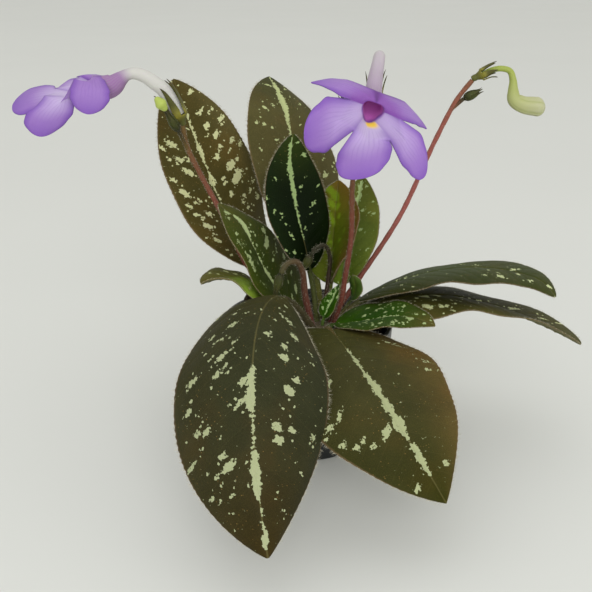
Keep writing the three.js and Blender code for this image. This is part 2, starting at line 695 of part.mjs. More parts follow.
// A closed calyx with its teeth, at the end of a young stalk.
function closedCalyx(from, to, radius) {
  const start = vec(...from);
  const axis = vec(...to).sub(start);
  const at = (share) => start.clone().addScaledVector(axis, share);
  const pieces = [bar([at(0), at(0.15), at(0.4), at(0.65), at(0.85)],
    [0.9, radius * 0.85, radius, radius * 0.7, radius * 0.35], 8)];
  const along = axis.clone().normalize();
  const across = vec(0.3, 1, 0.2).cross(along).normalize();
  const other = along.clone().cross(across);
  for (let k = 0; k < 3; k += 1) {
    const turn = (120 * k + 20) * RAD;
    const out = across.clone().multiplyScalar(Math.cos(turn)).addScaledVector(other, Math.sin(turn));
    pieces.push(bar([
      at(0.6).addScaledVector(out, radius * 0.3),
      at(0.85).addScaledVector(out, radius * 0.35),
      at(1.05).addScaledVector(out, radius * 0.55),
    ], [0.6, 0.55, 0.3], 4));
  }
  return pieces;
}

// Corolla bud on the right-hand stalk: a closed zigzag tube with a swollen hooked head.
const budRight = {
  tube: [[70.5, 9, 159.8], [74, 9, 161.4], [78, 8.8, 162], [81.3, 8.6, 161], [82.8, 8.4, 157.5], [83.2, 8.2, 153.5],
    [84, 8, 150], [87.5, 8, 147.8]],
  tubeRadii: [1, 1.1, 1.15, 1.2, 1.4, 2.1, 2.9, 3.4],
  mouth: [93, 8, 147],
  mouthRadius: 3.9,
  facing: [0, 0],
  turn: 0,
};

function budSolid() {
  const frameAt = tubeFrames(budRight);
  const path = [];
  const radii = [];
  for (let i = 0; i <= 16; i += 1) {
    const frame = frameAt(i / 16);
    path.push(frame.point);
    radii.push(frame.radius);
  }
  const end = vec(...budRight.mouth);
  for (const [x, radius] of [[1.9, 3.5], [3.2, 2.4], [3.9, 1]]) {
    path.push(end.clone().add(vec(x, 0, -0.08 * x)));
    radii.push(radius);
  }
  return toSolid(bar(path, radii, 8));
}

// Flower stalks: points of the centre line from the crown up, and radii along it.
const stalks = {
  stalk_left: {
    line: [[2.5, -2.2, 48.8], [-1.9, -1.3, 50.9], [-7.1, 1.5, 57.5], [-14, 5.2, 67.2], [-26, 6.7, 78.4], [-35.2, 10.5, 97.5], [-46, 14, 118], [-51, 15, 129],
      [-52.6, 14.5, 138.6]],
    radii: [1, 1.1, 1.1, 1.1],
    flower: 'flower_left',
    side: [[-50.6, 14.8, 127.5], [-54, 12, 136.5]],
    sideBud: [[-54, 12, 136.5], [-58.1, 8, 145.2]],
    bracts: [[-51, 15, 129], [-53.5, 13.6, 134.5]],
  },
  stalk_centre: {
    line: [[10.4, -3.6, 52.6], [12.1, -4.3, 58], [14.5, -6.6, 67], [15.6, -6.8, 75.6], [18, -7, 96], [18.2, -5.6, 120], [21, -2.6, 137],
      [25.8, 0.4, 151]],
    radii: [1.2, 1.1, 1, 1],
    flower: 'flower_centre',
    side: [[20, -3.6, 133], [17, -7, 144]],
    sideBud: [[17, -7, 144], [12.4, -8, 153.5]],
    bracts: [[20, -3.6, 133], [17.5, -5.5, 138]],
  },
  stalk_right: {
    line: [[9.2, -0.4, 52], [13.4, 1.3, 60], [23.2, 5.6, 73.6], [40, 8, 101.2], [53, 9, 133], [61, 9, 150], [66.5, 9, 157.4]],
    radii: [1.2, 1.1, 1, 1],
    flower: 'bud_right',
    side: [[58.5, 9, 145.5], [63.5, 8.5, 150.2]],
    sideBud: [[63.5, 8.5, 150.2], [70.5, 8, 153.6]],
    bracts: [[58.5, 9, 145.5], [61.2, 8.4, 150.4]],
  },
  stalk_young_front: {
    line: [[2.9, -4.8, 52], [1.5, -6.6, 58], [-1, -9, 71], [-2.2, -11.6, 82.4], [-4.8, -14, 87.6], [-8.4, -15.6, 87.4],
      [-11, -16.8, 83.6]],
    radii: [1.5, 1.45, 1.3, 1.1],
    sideBud: [[-11, -16.8, 83.6], [-13.6, -18.6, 74.6]],
  },
  stalk_young_back: {
    line: [[6.5, -0.8, 52], [7.5, 1.9, 60], [9.3, 4.4, 74], [9.8, 4.8, 83.4], [7.4, 3.8, 88.8], [3.8, 2.6, 87.8],
      [1.6, 1.4, 85]],
    radii: [1.3, 1.2, 1.1, 1],
    sideBud: [[1.6, 1.4, 85], [-2.2, 0, 78.6]],
  },
};

function stalkSolid(stalk) {
  const pieces = [stalkBar(stalk.line, stalk.radii, 6, 14)];
  if (stalk.flower) {
    const source = stalk.flower === 'bud_right' ? budRight : flowers[stalk.flower];
    const isBud = source === budRight;
    pieces.push(...calyx(tubeFrames(source), 10, isBud ? 1.4 : 2.2, isBud ? 0.34 : 0.3));
    pieces.push(bar(stalk.side.map((p) => vec(...p)), [0.8, 0.8], 6));
    const bract = stalk.bracts.map((p) => vec(...p));
    pieces.push(bar([bract[0], bract[0].clone().lerp(bract[1], 0.5), bract[1]], [0.7, 0.9, 0.3], 4));
  }
  pieces.push(...closedCalyx(...stalk.sideBud, stalk.flower ? 1.7 : 1.9));
  return join(pieces).subtract(crownRoom);
}

function smallBudSolid() {
  const head = new THREE.IcosahedronGeometry(2.3, 1).scale(1.1, 0.9, 0.8).rotateY(0.6);
  return toSolid(head.translate(-59.3, 6.9, 147.7));
}

const looks = {
  pot: ['#141818', 0.35],
  soil: ['#2c241c', 0.95],
  leaf: ['#46422d', 0.6],
  stalk: ['#7a433c', 0.6],
  petal: ['#9a6fd0', 0.55],
  bud: ['#c3cf74', 0.55],
};

const plant = new THREE.Group();

function place(name, solid, look) {
  const [colour, roughness] = looks[look];
  const material = new THREE.MeshStandardMaterial({ color: colour, roughness, metalness: 0 });
  const mesh = new THREE.Mesh(toGeometry(solid), material);
  mesh.name = name;
  plant.add(mesh);
}

place('pot', potSolid(), 'pot');
place('soil', soilSolid(), 'soil');
place('rosette', rosetteSolid(), 'leaf');
for (const [name, stalk] of Object.entries(stalks)) {
  place(name, stalkSolid(stalk), 'stalk');
}
for (const [name, flower] of Object.entries(flowers)) {
  place(name, flowerSolid(flower), 'petal');
}
place('bud_right', budSolid(), 'bud');
place('bud_left_small', smallBudSolid(), 'bud');

export default plant;
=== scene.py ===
"""Potted Michaelmoelleria vietnamensis: a rosette of velvety spotted leaves with long-stalked
lavender flowers, growing in a small black nursery pot. Metres, Z up, front towards -Y."""

import math

import bmesh
import bpy
import numpy as np
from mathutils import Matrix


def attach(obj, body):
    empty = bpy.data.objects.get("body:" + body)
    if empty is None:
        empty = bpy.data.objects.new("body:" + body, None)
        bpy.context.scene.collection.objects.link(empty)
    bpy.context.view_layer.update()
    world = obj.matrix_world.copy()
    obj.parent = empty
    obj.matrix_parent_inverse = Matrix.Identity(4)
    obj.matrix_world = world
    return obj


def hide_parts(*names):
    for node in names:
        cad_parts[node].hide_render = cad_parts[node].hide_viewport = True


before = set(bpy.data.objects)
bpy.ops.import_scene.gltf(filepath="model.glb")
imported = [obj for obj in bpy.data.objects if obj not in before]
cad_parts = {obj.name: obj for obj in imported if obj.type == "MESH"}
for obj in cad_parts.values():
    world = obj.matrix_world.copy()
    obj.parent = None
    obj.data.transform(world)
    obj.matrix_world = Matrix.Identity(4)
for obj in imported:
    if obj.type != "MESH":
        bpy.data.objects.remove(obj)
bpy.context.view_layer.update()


# Camera: a 50 mm lens a third of a metre in front of the plant, a little above its flowers and
# tipped 21.9 degrees down, which shows the leaves from above and the flowers from the front.
camera = bpy.data.objects.new("camera", bpy.data.cameras.new("camera"))
camera.data.lens = 50
camera.data.sensor_width = 36
camera.data.clip_start = 0.01
camera.location = (-0.00485, -0.3323, 0.2005)
camera.rotation_euler = (math.radians(90 - 21.9), 0, 0)
bpy.context.scene.collection.objects.link(camera)
bpy.context.scene.camera = camera
bpy.context.scene.view_settings.view_transform = "Standard"


# Floor: one wide pale matt sheet that the pot stands on, under an even pale sky and three large
# soft boxes, above and behind, in front, and at the right.
class Wire:
    """One output of a material's nodes. Sums and products of wires add Math nodes, and any other
    node comes from add, which takes a node's type, its settings and its sockets' values."""

    def __init__(self, tree, socket=None):
        self.tree = tree
        self.socket = socket

    def add(self, kind, settings=None, sockets=None, output=0):
        node = self.tree.nodes.new(kind)
        for name, value in (settings or {}).items():
            setattr(node, name, value)
        for name, value in (sockets or {}).items():
            if isinstance(value, Wire):
                self.tree.links.new(value.socket, node.inputs[name])
            else:
                node.inputs[name].default_value = value
        return Wire(self.tree, node.outputs[output])

    def maths(self, operation, first, second=0.0):
        return self.add("ShaderNodeMath", {"operation": operation}, {0: first, 1: second})

    def __add__(self, other):
        return self.maths("ADD", self, other)

    def __radd__(self, other):
        return self.maths("ADD", other, self)

    def __sub__(self, other):
        return self.maths("SUBTRACT", self, other)

    def __rsub__(self, other):
        return self.maths("SUBTRACT", other, self)

    def __mul__(self, other):
        return self.maths("MULTIPLY", self, other)

    def __rmul__(self, other):
        return self.maths("MULTIPLY", other, self)

    def size(self):
        return self.maths("ABSOLUTE", self)

    def sine(self):
        return self.maths("SINE", self)

    def between(self, low, high):
        """0 at low and 1 at high, with a smooth step from one to the other."""
        settings = {"interpolation_type": "SMOOTHSTEP"}
        sockets = {"Value": self, "From Min": low, "From Max": high}
        return self.add("ShaderNodeMapRange", settings, sockets)

    def mix(self, share, first, second, blend="MIX"):
        """A colour: first where share is 0, and second, or its blend with first, where it is 1."""
        first, second = [c if isinstance(c, Wire) else (*c, 1) for c in (first, second)]
        settings = {"data_type": "RGBA", "blend_type": blend}
        return self.add("ShaderNodeMix", settings, {0: share, 6: first, 7: second}, output=2)

    def bump(self, strength, distance):
        """This wire as a height, turned into a normal."""
        sockets = {"Strength": strength, "Distance": distance, "Height": self}
        return self.add("ShaderNodeBump", sockets=sockets)

    def attribute(self, name, output="Fac"):
        return self.add("ShaderNodeAttribute", {"attribute_name": name}, output=output)

    def parts(self):
        """The x, y and z of a vector."""
        first = self.add("ShaderNodeSeparateXYZ", sockets={0: self})
        return [Wire(self.tree, first.socket.node.outputs[i]) for i in range(3)]

    def vector(self, x, y, z):
        return self.add("ShaderNodeCombineXYZ", sockets={0: x, 1: y, 2: z})

    def noise(self, place, scale, detail=2.0, roughness=0.5):
        sockets = {"Vector": place, "Scale": scale, "Detail": detail, "Roughness": roughness}
        return self.add("ShaderNodeTexNoise", sockets=sockets)

    def place(self):
        return self.add("ShaderNodeTexCoord", output="Object")


def finish(name, **constants):
    """A new material: its first wire, its shader's sockets and itself."""
    made = bpy.data.materials.new(name)
    made.use_nodes = True
    shader = made.node_tree.nodes["Principled BSDF"]
    for socket, value in constants.items():
        shader.inputs[socket.replace("_", " ")].default_value = value
    return Wire(made.node_tree), shader.inputs, made


def coat(inputs, socket, wire):
    wire.tree.links.new(wire.socket, inputs[socket])


FLOOR_REACH = 9
floor_mesh = bpy.data.meshes.new("floor")
corners = [(x * FLOOR_REACH, y * FLOOR_REACH, 0) for x, y in ((-1, -1), (1, -1), (1, 1), (-1, 1))]
floor_mesh.from_pydata(corners, [], [(0, 1, 2, 3)])
floor = bpy.data.objects.new("floor", floor_mesh)
bpy.context.scene.collection.objects.link(floor)
# The floor also glows faintly: painted light that lifts the shadows cast on it.
wire, sockets, material = finish(
    "pale_floor", Roughness=0.7, Emission_Color=(1, 1, 0.95, 1), Emission_Strength=0.05,
)
cloud = wire.noise(wire.place(), 3.0)
tone = wire.mix(cloud, (0.60, 0.61, 0.585), (0.63, 0.64, 0.615))
coat(sockets, "Base Color", tone)
floor_mesh.materials.append(material)

world = bpy.data.worlds.new("studio")
world.use_nodes = True
world.node_tree.nodes["Background"].inputs["Color"].default_value = (1.0, 1.0, 0.96, 1)
world.node_tree.nodes["Background"].inputs["Strength"].default_value = 0.8
bpy.context.scene.world = world

for name, place, turn, size, power in [
    ("light_above", (-0.4, 0.6, 2.6), (-8, -6, 0), 3.0, 7),
    ("light_front", (0.1, -1.2, 0.6), (64, 0, 5), 0.9, 9),
    ("light_side", (1.3, -0.7, 0.6), (65, 0, 60), 1.0, 1),
]:
    lamp = bpy.data.lights.new(name, "AREA")
    lamp.size = size
    lamp.energy = power
    box = bpy.data.objects.new(name, lamp)
    box.location = place
    box.rotation_euler = [math.radians(a) for a in turn]
    bpy.context.scene.collection.objects.link(box)


# Pot: a round 3 inch nursery pot, injection moulded in thin black plastic, with a stepped rim,
# six drain holes and faint mould lines down its wall.
POT_HEIGHT = 56
RIM_RADIUS = 37.5
FOOT_RADIUS = 26.5
POT_WALL = 1.3
POT_FLOOR = 2
RIM_BAND = 7
RIM_STEP = 1.6
POT_SIDES = 128
DRAIN_HOLES = 6
DRAIN_HOLE_RADIUS = 3.5
DRAIN_RING_RADIUS = 18


def wall_radius(z):
    return FOOT_RADIUS + (RIM_RADIUS - RIM_STEP - FOOT_RADIUS) * z / POT_HEIGHT


def new_object(name, points, faces, look, smooth=True, **values):
    """An object from a mesh in millimetres, with named values at its points."""
    mesh = bpy.data.meshes.new(name)
    mesh.from_pydata((np.asarray(points, float) * 0.001).tolist(), [], faces)
    for key, value in values.items():
        value = np.asarray(value, np.float32)
        kinds = {1: ("FLOAT", "value"), 3: ("FLOAT_VECTOR", "vector"), 4: ("FLOAT_COLOR", "color")}
        kind, field = kinds[value.size // len(value)]
        mesh.attributes.new(key, kind, "POINT").data.foreach_set(field, value.ravel())
    mesh.materials.append(look)
    if smooth:
        mesh.shade_smooth()
    made = bpy.data.objects.new(name, mesh)
    bpy.context.scene.collection.objects.link(made)
    return made


def hand_over(piece, replaced=None):
    """Makes an object a finished piece that rides on the plant's one body."""
    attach(piece, "root")
    if replaced:
        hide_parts(replaced)


def ring_faces(rings, around, flipped=False):
    """Faces between rings of points that follow one another, each with as many points around."""
    faces = []
    for i in range(rings - 1):
        for k in range(around):
            a, b = i * around + k, i * around + (k + 1) % around
            faces.append((a, a + around, b + around, b) if flipped else (a, b, b + around, a + around))
    return faces


def turned(profile, around):
    """Points and faces of a closed profile of (radius, height) turned about Z."""
    turns = np.linspace(0, 2 * np.pi, around, endpoint=False)
    points = [(r * np.cos(turns), r * np.sin(turns), np.full(around, float(z))) for r, z in profile]
    points = np.stack([np.stack(ring, 1) for ring in points]).reshape(-1, 3)
    return points, ring_faces(len(profile), around)


def rounded(profile, radius, steps=4):
    """The profile with each corner but the first and last cut to a small round."""
    points = [profile[0]]
    for before, corner, after in zip(profile, profile[1:], profile[2:]):
        corner = np.array(corner, float)
        ways = [np.array(before) - corner, np.array(after) - corner]
        ends = [corner + w * min(radius / np.linalg.norm(w), 0.45) for w in ways]
        for share in np.linspace(0, 1, steps):
            rest = 1 - share
            points.append(rest**2 * ends[0] + 2 * share * rest * corner + share**2 * ends[1])
    points.append(profile[-1])
    return points


step = POT_HEIGHT - RIM_BAND
inner = wall_radius(step) - POT_WALL
outside = rounded([
    (0.01, 0.5), (FOOT_RADIUS - 4, 0.5), (FOOT_RADIUS - 4.6, 0), (FOOT_RADIUS, 0),
    (wall_radius(14), 14), (wall_radius(30), 30), (wall_radius(step), step),
    (RIM_RADIUS - 0.4, step + 0.2), (RIM_RADIUS, POT_HEIGHT), (RIM_RADIUS - 1.7, POT_HEIGHT),
    (inner + 1.1, step + 1.6), (inner, step - 0.4),
    (wall_radius(26) - POT_WALL, 26), (wall_radius(POT_FLOOR) - POT_WALL, POT_FLOOR), (0.01, POT_FLOOR),
], 0.8)
pot_points, pot_faces = turned(outside, POT_SIDES)
wire, sockets, material = finish("black_pot_plastic", Specular_IOR_Level=0.45)
place = wire.place()
x, y, z = place.parts()
speckle = wire.noise(place, 900.0, 3.0)
scuffs = wire.noise(wire.vector(x * 60, y * 60, z * 260), 1.0, 4.0, 0.65).between(0.58, 0.75)
dust = wire.noise(place, 70.0, 3.0).between(0.45, 0.8) * (1 - z.between(0.004, 0.03)) * 0.5
black = wire.mix(scuffs * 0.35 + dust, (0.010, 0.0125, 0.013), (0.045, 0.043, 0.038))
coat(sockets, "Base Color", black)
coat(sockets, "Roughness", 0.34 + scuffs * 0.2 + speckle * 0.08)
grain = speckle * 0.4 + (z * 5200).sine() * 0.05
coat(sockets, "Normal", grain.bump(0.12, 0.0002))
pot = new_object("pot_shell", pot_points, pot_faces, material)
drill_points, drill_faces = [], []
for k in range(DRAIN_HOLES):
    turn = math.radians(360 / DRAIN_HOLES * (k + 0.5))
    points, faces = turned([(0.01, -3), (DRAIN_HOLE_RADIUS, -3), (DRAIN_HOLE_RADIUS, 5), (0.01, 5)], 32)
    points += (DRAIN_RING_RADIUS * math.cos(turn), DRAIN_RING_RADIUS * math.sin(turn), 0)
    drill_faces += [[i + len(drill_points) * len(points) for i in face] for face in faces]
    drill_points.append(points)
drill_mesh = bpy.data.meshes.new("drill")
drill_mesh.from_pydata((np.vstack(drill_points) * 0.001).tolist(), [], drill_faces)
drill = bpy.data.objects.new("drill", drill_mesh)
bpy.context.scene.collection.objects.link(drill)


def close_poles(mesh):
    """Joins the tiny rings at the ends of a turned mesh and points its faces outwards."""
    shell = bmesh.new()
    shell.from_mesh(mesh)
    bmesh.ops.remove_doubles(shell, verts=shell.verts, dist=0.00003)
    bmesh.ops.recalc_face_normals(shell, faces=shell.faces)
    shell.to_mesh(mesh)
    shell.free()


def settle(piece):
    """Turns a piece's modifiers into plain mesh."""
    bpy.context.view_layer.update()
    live = piece.evaluated_get(bpy.context.evaluated_depsgraph_get())
    done = bpy.data.meshes.new_from_object(live)
    piece.modifiers.clear()
    piece.data = done


close_poles(pot.data)
close_poles(drill_mesh)
cut = pot.modifiers.new("drain holes", "BOOLEAN")
cut.operation = "DIFFERENCE"
cut.object = drill
settle(pot)
bpy.data.objects.remove(drill)
pot.data.shade_smooth()
pot.data.set_sharp_from_angle(angle=math.radians(40))
hand_over(pot, "pot")


# Soil: a coarse dark mix of bark, peat and grit, filled to just below the rim, heaped at the
# back left and hollowed round the crown.
CROWN = (7, -3)
CROWN_RADIUS = 7
SOIL_HEIGHT = 51
SOIL_SIDES = 144
CROWN_HOLE_FLOOR = 43


def soil_top(x, y):
    from_crown = np.hypot(x - CROWN[0], y - CROWN[1])
    lumps = 1.1 * np.sin(0.61 * x + 1.3) * np.cos(0.53 * y - 0.4)
    lumps += 0.9 * np.sin(0.97 * x - 0.71 * y + 2.1) + 0.6 * np.cos(1.43 * x + 1.19 * y)
    heap = 4.5 * np.exp(-((x + 27) ** 2 + (y - 9) ** 2) / 60)
    heap += 9 * np.exp(-((x + 26) ** 2 + (y - 17) ** 2) / 12)
    return SOIL_HEIGHT - 6.5 * np.exp(-(from_crown**2) / 130) + lumps + heap


def soil_radius(z):
    return wall_radius(min(z, POT_HEIGHT - RIM_BAND)) - POT_WALL - 0.42


edge = soil_radius(SOIL_HEIGHT)
turns = np.linspace(0, 2 * np.pi, SOIL_SIDES, endpoint=False)
rings = []
for share in np.linspace(0.001, 1, 56):
    x, y = edge * share * np.cos(turns), edge * share * np.sin(turns)
    crumble = 0.25 * np.sin(3.1 * x + 2 * np.sin(2.3 * y)) * np.cos(2.7 * y + np.sin(3.7 * x))
    top = soil_top(x, y) + crumble
    hole = np.clip((CROWN_RADIUS + 0.6 - np.hypot(x - CROWN[0], y - CROWN[1])) / 0.5, 0, 1)
    rings.append(np.stack([x, y, top * (1 - hole) + CROWN_HOLE_FLOOR * hole], 1))
rings[-1][:, 2] = np.minimum(rings[-1][:, 2], POT_HEIGHT - 1.5)
for radius, z in [(soil_radius(45), 45), (soil_radius(3) - 1, 3.3), (soil_radius(2) - 3, 2.3), (0.01, 2.3)]:
    rings.append(np.stack([radius * np.cos(turns), radius * np.sin(turns), np.full(SOIL_SIDES, z)], 1))
soil_faces = ring_faces(len(rings), SOIL_SIDES, flipped=True)
wire, sockets, material = finish("potting_mix", Roughness=0.95, Specular_IOR_Level=0.2)
place = wire.place()
crumbs = wire.add("ShaderNodeTexVoronoi", sockets={"Vector": place, "Scale": 700.0}, output="Color")
grit = crumbs.parts()[0]
damp = wire.noise(place, 160.0, 3.0)
earth = wire.mix(grit * damp * 1.3, (0.010, 0.008, 0.006), (0.085, 0.058, 0.036))
coat(sockets, "Base Color", earth)
rough = wire.noise(place, 900.0, 4.0, 0.7) + grit
coat(sockets, "Normal", rough.bump(0.8, 0.0006))
soil = new_object("soil_bed", np.vstack(rings), soil_faces, material)
close_poles(soil.data)
hand_over(soil, "soil")
potting_mix = material


def new_tree(name, inputs):
    """A Geometry Nodes tree with a mesh in, a mesh out and the named inputs."""
    tree = bpy.data.node_groups.new(name, "GeometryNodeTree")
    for label, kind in {"Geometry": "Geometry", **inputs}.items():
        tree.interface.new_socket(label, in_out="INPUT", socket_type="NodeSocket" + kind)
    tree.interface.new_socket("Geometry", in_out="OUTPUT", socket_type="NodeSocketGeometry")
    return tree


def grow_node(tree, kind, sockets=None, **settings):
    """Adds a node to a tree and returns its outputs."""
    node = tree.nodes.new(kind)
    for name, value in settings.items():
        setattr(node, name, value)
    for name, value in (sockets or {}).items():
        if isinstance(value, bpy.types.NodeSocket):
            tree.links.new(value, node.inputs[name])
        else:
            node.inputs[name].default_value = value
    return node.outputs


def apply_tree(piece, tree, values):
    """Runs a Geometry Nodes tree on a piece and keeps its result as plain mesh."""
    modifier = piece.modifiers.new(tree.name, "NODES")
    modifier.node_group = tree
    for item in tree.interface.items_tree:
        if item.item_type == "SOCKET" and item.in_out == "INPUT" and item.name in values:
            modifier[item.identifier] = values[item.name]
    settle(piece)


# Loose bark and grit lie on the bed: rough chips scattered over its top by Geometry Nodes, whose
# sizes are in metres.
CHIP_JAG = 0.0007
chips_tree = new_tree("loose_chips", {"Density": "Float", "Chip size": "Float", "Seed": "Int"})
given = grow_node(chips_tree, "NodeGroupInput")
bed = grow_node(chips_tree, "GeometryNodeDistributePointsOnFaces",
                {"Mesh": given["Geometry"], "Density": given["Density"], "Seed": given["Seed"]},
                distribute_method="RANDOM")
chip = grow_node(chips_tree, "GeometryNodeMeshIcoSphere", {"Radius": 1.0, "Subdivisions": 1})
sway = grow_node(chips_tree, "FunctionNodeRandomValue", data_type="FLOAT_VECTOR",
                 sockets={"Min": (0.35, 0.5, 0.2), "Max": (1.0, 1.3, 0.5), "Seed": given["Seed"]})
sized = grow_node(chips_tree, "ShaderNodeVectorMath", {0: sway["Value"], "Scale": given["Chip size"]},
                  operation="SCALE")
spin = grow_node(chips_tree, "FunctionNodeRandomValue", data_type="FLOAT_VECTOR",
                 sockets={"Min": (-0.6, -0.6, 0.0), "Max": (0.6, 0.6, 6.28), "Seed": 5})
laid = grow_node(chips_tree, "GeometryNodeInstanceOnPoints",
                 {"Points": bed["Points"], "Instance": chip["Mesh"], "Rotation": spin["Value"],
                  "Scale": sized["Vector"]})
real = grow_node(chips_tree, "GeometryNodeRealizeInstances", {"Geometry": laid["Instances"]})
jag = grow_node(chips_tree, "ShaderNodeTexWhiteNoise")
jolt = grow_node(chips_tree, "ShaderNodeVectorMath", operation="MULTIPLY_ADD",
                 sockets={0: jag["Color"], 1: (CHIP_JAG,) * 3, 2: (-CHIP_JAG / 2,) * 3})
broken = grow_node(chips_tree, "GeometryNodeSetPosition",
                   {"Geometry": real["Geometry"], "Offset": jolt["Vector"]})
looked = grow_node(chips_tree, "GeometryNodeSetMaterial",
                   {"Geometry": broken["Geometry"], "Material": potting_mix})
grow_node(chips_tree, "NodeGroupOutput", {"Geometry": looked["Geometry"]})

bed_rings = [ring - (0, 0, 0.2) for ring in rings[2:54]]
bed_points = np.vstack(bed_rings)
clear = np.hypot(*(bed_points[:, :2] - CROWN).T) > CROWN_RADIUS + 1.6
bed_faces = [face for face in ring_faces(len(bed_rings), SOIL_SIDES, flipped=True) if clear[face[0]]]
chips = new_object("soil_chips", bed_points, bed_faces, potting_mix, smooth=False)
apply_tree(chips, chips_tree, {"Density": 420000.0, "Chip size": 0.0011, "Seed": 4})
hand_over(chips)


# Leaves: fourteen broad soft leaves on fleshy stalks, all growing from one short upright crown.
# Each is a thin velvety sheet, quilted between its side veins, with a groove over the midrib and
# a rib below it.

